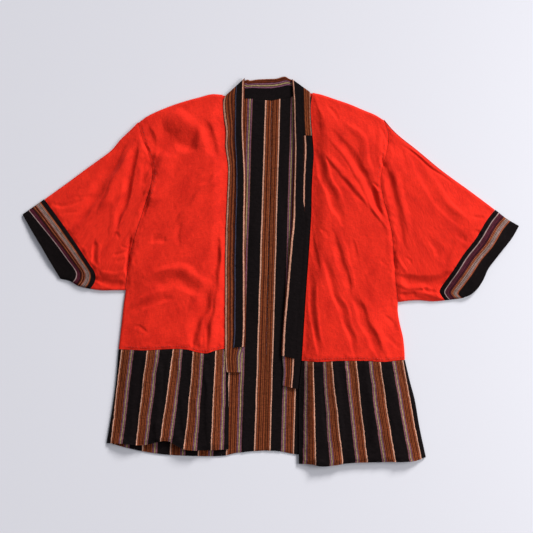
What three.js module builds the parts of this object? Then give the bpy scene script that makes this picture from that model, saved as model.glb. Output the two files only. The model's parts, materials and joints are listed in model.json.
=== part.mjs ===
// A noragi, the short cotton work jacket, laid flat with its front up.
// Millimetres, +X to the wearer's left, +Y to the neck, +Z up. The origin is at the middle of its
// box, on the surface that it rests on. "right" and "left" are the wearer's.
import * as THREE from 'three';

// cloth and how the layers lie
const GAP = 0.3; // between two pieces at a seam
const SEAM_GAP = 0.8; // the same along a slanting seam, measured level
const LOOSE_GAP = 1.4; // between two edges that are divided differently
const BACK_WALL = 1.2; // the layer on the surface
const LINING_TOP = 2.5;
const CLOTH_WALL = 1.5; // fronts, bands, sleeves and cuffs
const FOOT = 1.5; // where the upper layer meets the back at an outer edge
const LOFT = 7; // top of the upper layer away from folds
const LOWEST = 4.7; // a crease is never deeper than this
const CREASE_SOFTNESS = 0.8; // how gently the deepest creases bottom out
const RIM = 10; // width over which an outer edge rounds down
const UNDER_RIM = 4; // the same below a sleeve
const BACK_INSET = 1.5; // the back's edge, inside the upper layer's
const LINING_INSET = 11;

// collar strips, folded cloth lying on the lining
const COLLAR_UNDER = 3.3;
const COLLAR_TOP = 6.3;
const COLLAR_EDGE = 1.2; // thickness left at a rounded edge
const OVER_WALL = 1.2;
const OVER_GAP = 0.5;
const UNDER_COLLAR_INSET = 2.2; // the collar's free edge, inside the over-collar's
const TURN_SHARE = 0.02; // of a strip's length
const COLLAR_RIM = 6;
const NECK_UNDER_TOP = 1.5;
const NECK_OVER_TOP = 3;
const NECK_OVER_EDGE = 0.5; // thickness left at the over-collar's edge behind the neck
const NECK_UNDER_SHARE = 0.94; // of the strip's width, for the collar under the over-collar
const NECK_WIDTH = 36; // about the strip's width behind the neck
const PIECING_GAP = 0.0006; // between the collar's two pieces, as a share of its length
const ARMHOLE_SHARE = 0.7; // of a front's outer edge, above the side seam

// outlines, one row for each station along the edge, from the neck or the top downwards
const RIGHT = {
  inward: 1,
  shoulder: [
    { x: -96, y: 353 }, { x: -118, y: 354 }, { x: -142, y: 348 }, { x: -168, y: 341 },
    { x: -196, y: 332 }, { x: -226, y: 320 }, { x: -248, y: 309 }, { x: -264, y: 297 },
  ],
  sleeveTop: [
    { x: -264, y: 297 }, { x: -280, y: 281 }, { x: -300, y: 262 }, { x: -318, y: 241 },
    { x: -342, y: 223 }, { x: -370, y: 203 }, { x: -400, y: 181 }, { x: -452, y: 144 },
  ],
  cuffTop: [{ x: -452, y: 144 }, { x: -474, y: 129 }, { x: -496, y: 114 }],
  cuffMouth: [
    { x: -496, y: 114 }, { x: -480, y: 86 }, { x: -460, y: 53 }, { x: -442, y: 22 }, { x: -420, y: -15 },
  ],
  cuffUnder: [{ x: -420, y: -15 }, { x: -402, y: -19 }, { x: -384, y: -29 }, { x: -360, y: -35 }],
  cuffSeam: [
    { x: -452, y: 144 }, { x: -420, y: 102 }, { x: -388, y: 56 }, { x: -364, y: 19 },
    { x: -350, y: -4 }, { x: -351, y: -20 }, { x: -360, y: -35 },
  ],
  sleeveUnder: [{ x: -360, y: -35 }, { x: -338, y: -38 }, { x: -314, y: -38 }, { x: -290, y: -38 }],
  armhole: [
    { x: -264, y: 297 }, { x: -256, y: 267 }, { x: -244, y: 236 }, { x: -235, y: 203 }, { x: -238, y: 171 },
    { x: -250, y: 133 }, { x: -262, y: 95 }, { x: -274, y: 57 }, { x: -283, y: 17 }, { x: -290, y: -38 },
  ],
  side: [{ x: -290, y: -38 }, { x: -294, y: -67 }, { x: -299, y: -112 }, { x: -304, y: -155 }],
  frontEdge: [
    { x: -96, y: 353 }, { x: -96, y: 335 }, { x: -94, y: 307 }, { x: -90, y: 279 }, { x: -91, y: 249 },
    { x: -86, y: 213 }, { x: -86, y: 183 }, { x: -88, y: 143 }, { x: -91, y: 63 }, { x: -92, y: -57 },
    { x: -92, y: -154 },
  ],
  bandSeam: [
    { x: -304, y: -155 }, { x: -282, y: -156 }, { x: -248, y: -157 }, { x: -216, y: -155 },
    { x: -188, y: -154 }, { x: -164, y: -156 }, { x: -146, y: -161 }, { x: -128, y: -163 },
    { x: -112, y: -158 }, { x: -92, y: -154 },
  ],
  bandSide: [{ x: -304, y: -155 }, { x: -309, y: -215 }, { x: -316, y: -270 }, { x: -328, y: -343 }],
  bandFront: [
    { x: -92, y: -154 }, { x: -90, y: -197 }, { x: -85, y: -230 }, { x: -84, y: -290 }, { x: -84, y: -355 },
  ],
  hem: [
    { x: -328, y: -343 }, { x: -290, y: -343 }, { x: -260, y: -346 }, { x: -236, y: -343 },
    { x: -218, y: -338 }, { x: -202, y: -339 }, { x: -186, y: -348 }, { x: -166, y: -355 },
    { x: -130, y: -356 }, { x: -84, y: -355 },
  ],
  collarTop: { x: -93, y: 350 },
  collarFree: [
    { x: -52, y: 386 }, { x: -53, y: 343 }, { x: -54, y: 303 }, { x: -52, y: 253 }, { x: -48, y: 183 },
    { x: -48, y: 93 }, { x: -48, y: -7 }, { x: -49, y: -107 }, { x: -52, y: -152 }, { x: -57, y: -170 },
    { x: -57, y: -201 },
  ],
  collarEnd: { x: -88.5, y: -201, over: -151 },
  overWidth: 26,
};

const LEFT = {
  inward: -1,
  shoulder: [
    { x: 84, y: 357 }, { x: 102, y: 353 }, { x: 132, y: 343 }, { x: 158, y: 334 }, { x: 184, y: 323 },
    { x: 208, y: 313 }, { x: 226, y: 302 },
  ],
  sleeveTop: [
    { x: 226, y: 302 }, { x: 240, y: 285 }, { x: 258, y: 268 }, { x: 290, y: 243 }, { x: 340, y: 202 },
    { x: 394, y: 163 }, { x: 424, y: 141 }, { x: 448, y: 123 },
  ],
  cuffTop: [{ x: 448, y: 123 }, { x: 470, y: 106 }, { x: 496, y: 91 }],
  cuffMouth: [
    { x: 496, y: 91 }, { x: 482, y: 67 }, { x: 466, y: 47 }, { x: 448, y: 24 }, { x: 434, y: 5 },
    { x: 424, y: -17 }, { x: 412, y: -35 }, { x: 398, y: -47 }, { x: 380, y: -54 },
  ],
  cuffUnder: [{ x: 380, y: -54 }, { x: 364, y: -56 }, { x: 348, y: -58 }],
  cuffSeam: [
    { x: 448, y: 123 }, { x: 430, y: 101 }, { x: 408, y: 65 }, { x: 384, y: 34 }, { x: 362, y: 0 },
    { x: 346, y: -23 }, { x: 337, y: -39 }, { x: 341, y: -49 }, { x: 348, y: -58 },
  ],
  sleeveUnder: [
    { x: 348, y: -58 }, { x: 322, y: -60 }, { x: 298, y: -58 }, { x: 276, y: -59 }, { x: 254, y: -62 },
  ],
  armhole: [
    { x: 226, y: 302 }, { x: 235, y: 273 }, { x: 232, y: 243 }, { x: 224, y: 213 }, { x: 219, y: 181 },
    { x: 224, y: 147 }, { x: 234, y: 109 }, { x: 242, y: 70 }, { x: 248, y: -7 }, { x: 254, y: -62 },
  ],
  side: [
    { x: 254, y: -62 }, { x: 254, y: -81 }, { x: 258, y: -105 }, { x: 264, y: -130 }, { x: 267, y: -155 },
    { x: 268, y: -176 },
  ],
  frontEdge: [
    { x: 84, y: 357 }, { x: 80, y: 333 }, { x: 81, y: 299 }, { x: 84, y: 263 }, { x: 86, y: 233 },
    { x: 84, y: 203 }, { x: 82, y: 163 }, { x: 81, y: 113 }, { x: 76, y: 33 }, { x: 70, y: -51 },
    { x: 66, y: -117 }, { x: 62, y: -178 },
  ],
  bandSeam: [
    { x: 268, y: -176 }, { x: 248, y: -178 }, { x: 226, y: -180 }, { x: 190, y: -178 }, { x: 138, y: -178 },
    { x: 94, y: -180 }, { x: 62, y: -178 },
  ],
  bandSide: [
    { x: 268, y: -176 }, { x: 278, y: -219 }, { x: 288, y: -257 }, { x: 297, y: -310 }, { x: 310, y: -371 },
  ],
  bandFront: [
    { x: 62, y: -178 }, { x: 59, y: -207 }, { x: 56, y: -240 }, { x: 56, y: -320 }, { x: 56, y: -384 },
  ],
  hem: [
    { x: 310, y: -371 }, { x: 284, y: -378 }, { x: 218, y: -380 }, { x: 158, y: -382 }, { x: 118, y: -387 },
    { x: 100, y: -388 }, { x: 84, y: -385 }, { x: 56, y: -384 },
  ],
  collarTop: { x: 80, y: 358 },
  collarFree: [
    { x: 42, y: 384 }, { x: 45, y: 343 }, { x: 46, y: 293 }, { x: 47, y: 243 }, { x: 46, y: 187 },
    { x: 42, y: 93 }, { x: 38, y: 57 }, { x: 32, y: -17 }, { x: 25, y: -97 }, { x: 21, y: -171 },
    { x: 23, y: -200 }, { x: 21, y: -227 },
  ],
  collarEnd: { x: 56, y: -235, over: -171 },
  overWidth: 22,
};

const NECK = {
  sewn: [
    { x: -84, y: 351 }, { x: -62, y: 346 }, { x: -42, y: 345 }, { x: -22, y: 342 }, { x: 0, y: 341 },
    { x: 22, y: 345 }, { x: 42, y: 349 }, { x: 58, y: 352 }, { x: 72, y: 358 },
  ],
  free: [
    { x: -58, y: 378 }, { x: -46, y: 383 }, { x: -42, y: 381 }, { x: -28, y: 383 }, { x: -10, y: 384 },
    { x: 12, y: 385 }, { x: 28, y: 389 }, { x: 36, y: 385 }, { x: 48, y: 380 },
  ],
};
const BACK_HEM = [
  { x: -328, y: -343 }, { x: -294, y: -352 }, { x: -256, y: -360 }, { x: -210, y: -366 }, { x: -150, y: -369 },
  { x: -98, y: -369 }, { x: -72, y: -364 }, { x: -28, y: -360 }, { x: 12, y: -360 }, { x: 54, y: -367 },
  { x: 118, y: -372 }, { x: 188, y: -371 }, { x: 310, y: -371 },
];
const BACK_BAND_Y = { right: -155, middle: -166, left: -176 }; // the band's seam across the back
const CENTRE_SEAM = { top: { x: 2, y: 341 }, bottom: { x: -13, y: -360 } };
const PIECING_Y = 271; // the collar's own seam, on the left

// the largest folds: a line through three places, half its width and how far it stands or sinks
const FOLDS = [
  { at: 'right shoulder', x0: -212, y0: 315, x1: -172, y1: 293, x2: -132, y2: 263, half: 44, rise: -2 },
  { at: 'right neck', x0: -136, y0: 307, x1: -120, y1: 263, x2: -106, y2: 219, half: 17, rise: -3 },
  { at: 'right neck', x0: -122, y0: 319, x1: -108, y1: 267, x2: -96, y2: 199, half: 18, rise: 4 },
  { at: 'right breast', x0: -198, y0: 247, x1: -166, y1: 153, x2: -142, y2: 63, half: 68, rise: 3.5 },
  { at: 'right breast', x0: -132, y0: 193, x1: -186, y1: 113, x2: -250, y2: -27, half: 22, rise: -2.6 },
  { at: 'right breast', x0: -98, y0: 183, x1: -138, y1: 127, x2: -172, y2: 67, half: 20, rise: -2.6 },
  { at: 'right waist', x0: -242, y0: -1, x1: -178, y1: 19, x2: -118, y2: -21, half: 24, rise: 4 },
  { at: 'right waist', x0: -246, y0: -27, x1: -198, y1: -13, x2: -146, y2: -25, half: 17, rise: -3 },
  { at: 'right collar', x0: -100, y0: 143, x1: -102, y1: 63, x2: -118, y2: -27, half: 17, rise: -3.6 },
  { at: 'right collar', x0: -118, y0: -27, x1: -134, y1: -93, x2: -154, y2: -161, half: 17, rise: -3.6 },
  { at: 'right skirt', x0: -188, y0: -37, x1: -238, y1: -77, x2: -292, y2: -117, half: 20, rise: -2.2 },
  { at: 'right armhole', x0: -190, y0: 247, x1: -218, y1: 153, x2: -258, y2: 7, half: 26, rise: 4.5 },
  { at: 'right armhole', x0: -228, y0: 227, x1: -250, y1: 133, x2: -286, y2: -25, half: 17, rise: -4 },
  { at: 'right sleeve', x0: -282, y0: 263, x1: -326, y1: 199, x2: -386, y2: 91, half: 22, rise: -2.6 },
  { at: 'right sleeve', x0: -256, y0: 251, x1: -276, y1: 163, x2: -316, y2: 63, half: 18, rise: -2.6 },
  { at: 'right sleeve', x0: -306, y0: 199, x1: -316, y1: 133, x2: -304, y2: 79, half: 18, rise: 3 },
  { at: 'right sleeve', x0: -302, y0: 251, x1: -350, y1: 191, x2: -406, y2: 133, half: 26, rise: 3 },
  { at: 'left breast', x0: 148, y0: 263, x1: 194, y1: 183, x2: 238, y2: 79, half: 24, rise: 4 },
  { at: 'left breast', x0: 94, y0: 263, x1: 158, y1: 179, x2: 220, y2: 99, half: 22, rise: 4 },
  { at: 'left breast', x0: 124, y0: 299, x1: 174, y1: 219, x2: 220, y2: 139, half: 17, rise: -3.2 },
  { at: 'left neck', x0: 86, y0: 253, x1: 108, y1: 193, x2: 132, y2: 137, half: 17, rise: -3.2 },
  { at: 'left skirt', x0: 100, y0: 59, x1: 124, y1: -37, x2: 174, y2: -181, half: 17, rise: -3.2 },
  { at: 'left skirt', x0: 124, y0: 87, x1: 162, y1: -41, x2: 226, y2: -181, half: 18, rise: -3.2 },
  { at: 'left skirt', x0: 90, y0: 47, x1: 110, y1: -57, x2: 138, y2: -173, half: 17, rise: 3.4 },
  { at: 'left skirt', x0: 142, y0: 27, x1: 170, y1: -77, x2: 202, y2: -173, half: 18, rise: 3.8 },
  { at: 'left skirt', x0: 202, y0: 79, x1: 228, y1: -37, x2: 250, y2: -157, half: 24, rise: 3.2 },
  { at: 'left armhole', x0: 224, y0: 243, x1: 238, y1: 87, x2: 252, y2: -37, half: 17, rise: -3.4 },
  { at: 'left armhole', x0: 202, y0: 199, x1: 218, y1: 93, x2: 234, y2: -27, half: 22, rise: 3.6 },
  { at: 'left sleeve', x0: 232, y0: 243, x1: 254, y1: 133, x2: 274, y2: 33, half: 17, rise: -3 },
  { at: 'left sleeve', x0: 254, y0: 255, x1: 318, y1: 209, x2: 378, y2: 167, half: 15, rise: -2.6 },
  { at: 'left sleeve', x0: 250, y0: 236, x1: 312, y1: 190, x2: 370, y2: 146, half: 17, rise: 2.8 },
  { at: 'left sleeve', x0: 282, y0: 153, x1: 314, y1: 99, x2: 334, y2: 39, half: 48, rise: 3 },
  { at: 'left sleeve', x0: 254, y0: -1, x1: 302, y1: -13, x2: 362, y2: 7, half: 20, rise: -4 },
  { at: 'left sleeve', x0: 254, y0: -31, x1: 298, y1: -33, x2: 342, y2: -31, half: 15, rise: 3.4 },
  { at: 'right band', x0: -220, y0: -173, x1: -220, y1: -257, x2: -216, y2: -343, half: 20, rise: 3 },
  { at: 'right band', x0: -132, y0: -161, x1: -126, y1: -257, x2: -124, y2: -357, half: 20, rise: 2.6 },
  { at: 'left band', x0: 88, y0: -181, x1: 86, y1: -281, x2: 90, y2: -389, half: 20, rise: 2.6 },
  { at: 'left band', x0: 182, y0: -181, x1: 194, y1: -281, x2: 210, y2: -383, half: 24, rise: 2.4 },
];

// how finely the pieces are divided, as shares of their width or length
const RIM_STATIONS = [0, 0.005, 0.02, 0.045];
const ACROSS_SLEEVE = stations(RIM_STATIONS, 10, true);
const ACROSS_FRONT = stations([0, 0.008, 0.025, 0.05], 10, false);
const UNDER_SLEEVE = ACROSS_SLEEVE.slice(1, -1).filter((_, i) => i % 2 === 0); // coarser underneath
const ALONG_SLEEVE = evenly(9);
const ALONG_CUFF = evenly(4);
const ALONG_BAND = evenly(8);
const SIDE_STATIONS = 6;
const TURN_STATIONS = [0, 0.2, 0.6, 1].map((k) => k * TURN_SHARE);
const ALONG_COLLAR = stations(TURN_STATIONS, 20, false);
const ACROSS_COLLAR = [0, 0.3, 0.6, 0.82, 0.94, 1];
const ALONG_NECK = evenly(14);
const ACROSS_OVER_COLLAR = [0, 0.35, 0.65, 0.85, 0.95, 1];
const ACROSS_NECK = [0, 0.35, 0.7, 0.9, 1];
const OVER_STATIONS = 20;
const UPPER_COLLAR_STATIONS = 6;
const LOWER_COLLAR_STATIONS = 18;
const RIM_RUN = 24; // steps in which each outer edge is measured
const SEARCH_STEPS = 400;
const FLAT_STATIONS = 16;
const SIDE_RUN = 8;
const BAND_RUN = 10;
const NECK_RUN = 30;
const HEM_RUN = 50;

// which part of each edge the lining's outline follows, as shares of the edge's length
const LINING_SHOULDER = { from: 0.12, to: 0.92 };
const LINING_ARMHOLE = { from: 0.08, to: 0.95 };
const LINING_SIDE = { from: 0.1, to: 1 };
const LINING_BAND = { from: 0.05, to: 0.96 };
const BACK_BAND_SIDE = { from: 0.02, to: 0.99 };

const CLOTH = {
  red: new THREE.MeshStandardMaterial({ color: 0xe63a26, roughness: 0.85, metalness: 0 }),
  stripe: new THREE.MeshStandardMaterial({ color: 0x4a3128, roughness: 0.85, metalness: 0 }),
  cuff: new THREE.MeshStandardMaterial({ color: 0x4a3a40, roughness: 0.85, metalness: 0 }),
};

function evenly(count) {
  return Array.from({ length: count + 1 }, (_, i) => i / count);
}

// rim stations at the start, and at the end too if both edges are rounded, with even steps between
function stations(rim, count, both) {
  const last = rim[rim.length - 1];
  const end = both ? 1 - last : 1;
  const middle = evenly(count).slice(1, both ? count : count + 1).map((k) => last + k * (end - last));
  const far = both ? rim.map((k) => 1 - k).reverse() : [];
  return [...rim, ...middle, ...far];
}

// a smooth line through a table's rows, called with 0 to 1
function smoothLine(rows) {
  const at = [0];
  rows.slice(1).forEach((row, i) => at.push(at[i] + Math.hypot(row.x - rows[i].x, row.y - rows[i].y)));
  const total = at[at.length - 1];
  const slope = (key, i) => {
    const a = Math.max(i - 1, 0);
    const b = Math.min(i + 1, rows.length - 1);
    return (rows[b][key] - rows[a][key]) / (at[b] - at[a]);
  };
  return (share) => {
    const s = THREE.MathUtils.clamp(share, 0, 1) * total;
    let i = 0;
    while (i < rows.length - 2 && s > at[i + 1]) i += 1;
    const step = at[i + 1] - at[i];
    const k = (s - at[i]) / step;
    const value = (key) => {
      const rise = step * slope(key, i) * k * (1 - k) * (1 - k);
      const fall = step * slope(key, i + 1) * k * k * (1 - k);
      const blend = k * k * (3 - 2 * k);
      return rows[i][key] * (1 - blend) + rows[i + 1][key] * blend + rise - fall;
    };
    return [value('x'), value('y')];
  };
}

function joined(first, second, share) {
  return (t) => (t <= share ? first(t / share) : second((t - share) / (1 - share)));
}

function moved(line, dx, dy) {
  return (t) => {
    const [x, y] = line(t);
    return [x + dx, y + dy];
  };
}

function reversed(line) {
  return (t) => line(1 - t);
}

// points inside four edges: top and bottom run from side to front, side and front run downwards
function patch(edges, across, along) {
  const { top, bottom, side, front } = edges;
  const start = pinned(side, top(0), bottom(0));
  const end = pinned(front, top(1), bottom(1));
  return along.map((v) => across.map((u) => [0, 1].map((k) => {
    const ruled = (1 - v) * top(u)[k] + v * bottom(u)[k] + (1 - u) * start(v)[k] + u * end(v)[k];
    const upper = (1 - u) * top(0)[k] + u * top(1)[k];
    const lower = (1 - u) * bottom(0)[k] + u * bottom(1)[k];
    return ruled - (1 - v) * upper - v * lower;
  })));
}

// a line drawn over to two given ends
function pinned(line, from, to) {
  return (t) => line(t).map((value, k) => {
    return value + (1 - t) * (from[k] - line(0)[k]) + t * (to[k] - line(1)[k]);
  });
}

// nearest place on a run of points: how far off, and the segment and share where it is
function nearest(points, x, y) {
  let best = { d: Infinity };
  for (let i = 0; i + 1 < points.length; i += 1) {
    const [ax, ay] = points[i];
    const [bx, by] = points[i + 1];
    const along = (x - ax) * (bx - ax) + (y - ay) * (by - ay);
    const share = THREE.MathUtils.clamp(along / ((bx - ax) ** 2 + (by - ay) ** 2), 0, 1);
    const d = Math.hypot(x - ax - share * (bx - ax), y - ay - share * (by - ay));
    if (d < best.d) best = { d, i, share };
  }
  return best;
}

// the way inwards at each point of a run
function inwardNormals(points, inward) {
  return points.map((_, i) => {
    const [ax, ay] = points[Math.max(i - 1, 0)];
    const [bx, by] = points[Math.min(i + 1, points.length - 1)];
    const length = Math.hypot(bx - ax, by - ay);
    return [(-inward * (by - ay)) / length, (inward * (bx - ax)) / length];
  });
}

// the rounded outer edges of one side: over the shoulder to the cuff, and back under the arm to the hem
function outerEdges(half) {
  const run = (names) => {
    const steps = (i) => evenly(RIM_RUN).slice(i ? 1 : 0);
    const points = names.flatMap((name, i) => steps(i).map(smoothLine(half[name])));
    return { points, normals: inwardNormals(points, half.inward) };
  };
  return [run(['shoulder', 'sleeveTop', 'cuffTop']), run(['cuffUnder', 'sleeveUnder', 'side', 'bandSide'])];
}

function rimAt(half, x, y) {
  const found = half.outer.map(({ points, normals }) => ({ ...nearest(points, x, y), normals }));
  const { d, i, share, normals } = found[0].d < found[1].d ? found[0] : found[1];
  const blend = (k) => normals[i][k] * (1 - share) + normals[i + 1][k] * share;
  const reach = Math.min(d / RIM, 1);
  return { round: quarterRound(reach), inset: 1 - reach, d, nx: blend(0), ny: blend(1) };
}

function quarterRound(k) {
  const left = 1 - THREE.MathUtils.clamp(k, 0, 1);
  return Math.sqrt(1 - left * left);
}

function foldHeight(fold, x, y) {
  const run = [[fold.x0, fold.y0], [fold.x1, fold.y1], [fold.x2, fold.y2]];
  const { d } = nearest(run, x, y);
  const k = Math.min(d / fold.half, 1);
  return fold.rise * (1 - k * k) ** 2;
}

function topHeight(x, y) {
  const z = FOLDS.reduce((sum, fold) => sum + foldHeight(fold, x, y), LOFT);
  return LOWEST + CREASE_SOFTNESS * Math.log1p(Math.exp((z - LOWEST) / CREASE_SOFTNESS));
}

// a closed body between an outer and an inner grid of points; a tube's rows close on themselves
function bodyBetween(name, outer, inner, closed, material) {
  const rows = outer.length;
  const columns = outer[0].length;
  const positions = [...outer.flat(), ...inner.flat()].flat();
  const out = (i, j) => i * columns + (j % columns);
  const inn = (i, j) => rows * columns + out(i, j);
  const faces = [];
  const quad = (a, b, c, d) => faces.push(a, b, c, a, c, d);
  const spans = closed ? columns : columns - 1;
  for (let i = 0; i + 1 < rows; i += 1) {
    for (let j = 0; j < spans; j += 1) {
      quad(out(i, j), out(i + 1, j), out(i + 1, j + 1), out(i, j + 1));
      quad(inn(i, j), inn(i, j + 1), inn(i + 1, j + 1), inn(i + 1, j));
    }
  }
  for (let j = 0; j < spans; j += 1) {
    quad(out(0, j), out(0, j + 1), inn(0, j + 1), inn(0, j));
    quad(out(rows - 1, j + 1), out(rows - 1, j), inn(rows - 1, j), inn(rows - 1, j + 1));
  }
  for (let i = 0; !closed && i + 1 < rows; i += 1) {
    quad(out(i + 1, 0), out(i, 0), inn(i, 0), inn(i + 1, 0));
    quad(out(i, columns - 1), out(i + 1, columns - 1), inn(i + 1, columns - 1), inn(i, columns - 1));
  }
  return meshOf(name, positions, facesOut(positions, faces), material);
}

function facesOut(positions, faces) {
  const at = (i) => new THREE.Vector3().fromArray(positions, i * 3);
  let volume = 0;
  for (let i = 0; i < faces.length; i += 3) {
    volume += at(faces[i]).dot(at(faces[i + 1]).cross(at(faces[i + 2])));
  }
  return volume > 0 ? faces : faces.reverse();
}

function meshOf(name, positions, faces, material) {
  const geometry = new THREE.BufferGeometry();
  geometry.setAttribute('position', new THREE.Float32BufferAttribute(positions, 3));
  geometry.setIndex(faces);
  geometry.computeVertexNormals();
  const mesh = new THREE.Mesh(geometry, material);
  mesh.name = name;
  return mesh;
}

// an upper layer: it rounds down to the back at its outer edges and ends square at its seams
function upperPanel(name, half, edges, across, along, material) {
  const plan = patch(edges, across, along);
  const outer = plan.map((row) => row.map(([x, y]) => {
    const rim = rimAt(half, x, y);
    return [x, y, FOOT + (topHeight(x, y) - FOOT) * rim.round];
  }));
  const inner = plan.map((row) => row.map(([x, y]) => {
    const rim = rimAt(half, x, y);
    const inset = CLOTH_WALL * rim.inset;
    const z = FOOT + (topHeight(x, y) - CLOTH_WALL - FOOT) * rim.round;
    return [x + inset * rim.nx, y + inset * rim.ny, z];
  }));
  return bodyBetween(name, outer, inner, false, material);
}

// a flattened tube: each ring goes over the top and comes back along the surface
function tube(name, half, edges, across, along, material) {
  const plan = patch(edges, across, along);
  const ring = (row, wall) => {
    const inset = (x, y, rim) => [x + wall * rim.inset * rim.nx, y + wall * rim.inset * rim.ny];
    const over = row.map(([x, y]) => {
      const rim = rimAt(half, x, y);
      return [...inset(x, y, rim), FOOT + (topHeight(x, y) - wall - FOOT) * rim.round];
    });
    const under = row.slice(1, -1).filter((_, i) => i % 2 === 0).map(([x, y]) => {
      const rim = rimAt(half, x, y);
      const z = wall > 0 ? BACK_WALL : FOOT * (1 - quarterRound(rim.d / UNDER_RIM));
      return [...inset(x, y, rim), z];
    });
    return [...over, ...under.reverse()];
  };
  const outer = plan.map((row) => ring(row, 0));
  const inner = plan.map((row) => ring(row, CLOTH_WALL));
  return bodyBetween(name, outer, inner, true, material);
}

// a flat layer cut to an outline
function flatLayer(name, outline, low, high, material) {
  const shape = new THREE.Shape(outline.map(([x, y]) => new THREE.Vector2(x, y)));
  const geometry = new THREE.ExtrudeGeometry(shape, { depth: high - low, bevelEnabled: false });
  geometry.translate(0, 0, low);
  const mesh = new THREE.Mesh(geometry, material);
  mesh.name = name;
  return mesh;
}

function sampled(line, count, { from, to } = { from: 0, to: 1 }) {
  return evenly(count).map((k) => line(from + k * (to - from)));
}

// points of an outer edge moved inwards
function insetRun(half, points, distance) {
  return points.map(([x, y]) => {
    const rim = rimAt(half, x, y);
    return [x + distance * rim.nx, y + distance * rim.ny];
  });
}

// ---- the pieces of one side ----

function frontEdges(half) {
  const armhole = smoothLine(half.armhole);
  const side = smoothLine(half.side);
  return {
    top: reversed(smoothLine(half.shoulder)),
    bottom: smoothLine(half.bandSeam),
    side: joined(armhole, side, ARMHOLE_SHARE),
    front: smoothLine(half.frontEdge),
  };
}

function frontPieces(half, side) {
  const edges = frontEdges(half);
  const sideSteps = evenly(SIDE_STATIONS).slice(1).map((k) => ARMHOLE_SHARE + k * (1 - ARMHOLE_SHARE));
  const down = [...ACROSS_SLEEVE.map((k) => k * ARMHOLE_SHARE), ...sideSteps];
  const band = {
    top: moved(edges.bottom, 0, -SEAM_GAP),
    bottom: smoothLine(half.hem),
    side: smoothLine(half.bandSide),
    front: smoothLine(half.bandFront),
  };
  return [
    upperPanel(`front_${side}`, half, edges, ACROSS_FRONT, down, CLOTH.red),
    upperPanel(`band_${side}`, half, band, ACROSS_FRONT, ALONG_BAND, CLOTH.stripe),
  ];
}

function sleevePieces(half, side) {
  const out = -half.inward;
  const armhole = smoothLine(half.armhole);
  const cuffSeam = smoothLine(half.cuffSeam);
  const sleeve = {
    top: moved(armhole, out * SEAM_GAP, SEAM_GAP),
    bottom: cuffSeam,
    side: smoothLine(half.sleeveTop),
    front: reversed(smoothLine(half.sleeveUnder)),
  };
  const cuff = {
    top: moved(cuffSeam, out * SEAM_GAP, 0),
    bottom: smoothLine(half.cuffMouth),
    side: smoothLine(half.cuffTop),
    front: reversed(smoothLine(half.cuffUnder)),
  };
  return [
    tube(`sleeve_${side}`, half, sleeve, ACROSS_SLEEVE, ALONG_SLEEVE, CLOTH.red),
    tube(`cuff_${side}`, half, cuff, ACROSS_SLEEVE, ALONG_CUFF, CLOTH.cuff),
  ];
}

function centreX(y) {
  const { top, bottom } = CENTRE_SEAM;
  return bottom.x + ((y - bottom.y) / (top.y - bottom.y)) * (top.x - bottom.x);
}

function onSide(half, point) {
  return (point[0] - centreX(point[1])) * half.inward < -GAP;
}

// the run of a line that lies on this side of the centre seam, ordered away from the centre
function halfRun(half, rows, count) {
  const points = sampled(smoothLine(rows), count).filter((point) => onSide(half, point));
  return half.inward > 0 ? points.reverse() : points;
}

function backPieces(half, side) {
  const neck = halfRun(half, NECK.sewn, NECK_RUN);
  const shoulder = insetRun(half, sampled(smoothLine(half.shoulder), FLAT_STATIONS), BACK_INSET);
  const armhole = UNDER_SLEEVE.slice(1, -1).map(moved(smoothLine(half.armhole), half.inward * GAP, 0));
  const sideRun = insetRun(half, sampled(smoothLine(half.side), SIDE_RUN), BACK_INSET);
  const offset = -half.inward * GAP;
  const seamY = BACK_BAND_Y[side];
  const topY = neck[0][1];
  const outline = [
    [centreX(topY) + offset, topY], ...neck, ...shoulder, ...armhole, ...sideRun.slice(1, -1),
    [sideRun[sideRun.length - 1][0], seamY], [centreX(BACK_BAND_Y.middle) + offset, BACK_BAND_Y.middle],
  ];
  return [flatLayer(`back_${side}`, outline, 0, BACK_WALL, CLOTH.red)];
}

function liningPieces(half, side) {
  const neck = halfRun(half, NECK.sewn, NECK_RUN);
  const part = (rows, count, range) => sampled(smoothLine(rows), count, range);
  const shoulder = insetRun(half, part(half.shoulder, FLAT_STATIONS, LINING_SHOULDER), LINING_INSET);
  const armhole = part(half.armhole, FLAT_STATIONS, LINING_ARMHOLE)
    .map(([x, y]) => [x + half.inward * LINING_INSET, y]);
  const low = [...part(half.side, SIDE_RUN, LINING_SIDE), ...part(half.bandSide, BAND_RUN, LINING_BAND)];
  const hem = halfRun(half, BACK_HEM, HEM_RUN)
    .filter(([x]) => Math.abs(x - half.bandSide[half.bandSide.length - 1].x) > LINING_INSET)
    .map(([x, y]) => [x, y + BACK_INSET])
    .reverse();
  const offset = -half.inward * GAP;
  const [topY, bottomY] = [neck[0][1], hem[hem.length - 1][1]];
  const outline = [
    [centreX(topY) + offset, topY - GAP], ...neck.map(([x, y]) => [x, y - GAP]), ...shoulder, ...armhole,
    ...insetRun(half, low, LINING_INSET), ...hem, [centreX(bottomY) + offset, bottomY],
  ];
  return [flatLayer(`lining_${side}`, outline, FOOT, LINING_TOP, CLOTH.stripe)];
}

function backBand() {
  const edge = (half) => sampled(smoothLine(half.bandSide), BAND_RUN, BACK_BAND_SIDE);
  const right = insetRun(RIGHT, edge(RIGHT), BACK_INSET);
  const left = insetRun(LEFT, edge(LEFT), BACK_INSET);
  const hem = sampled(smoothLine(BACK_HEM), HEM_RUN).slice(1, -1);
  const middle = [centreX(BACK_BAND_Y.middle), BACK_BAND_Y.middle - GAP];
  const rightTop = [right[0][0], BACK_BAND_Y.right - GAP];
  const leftTop = [left[0][0], BACK_BAND_Y.left - GAP];
  const outline = [middle, rightTop, ...right.slice(1), ...hem, ...left.slice(1).reverse(), leftTop];
  return flatLayer('band_back', outline, 0, BACK_WALL, CLOTH.stripe);
}

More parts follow.
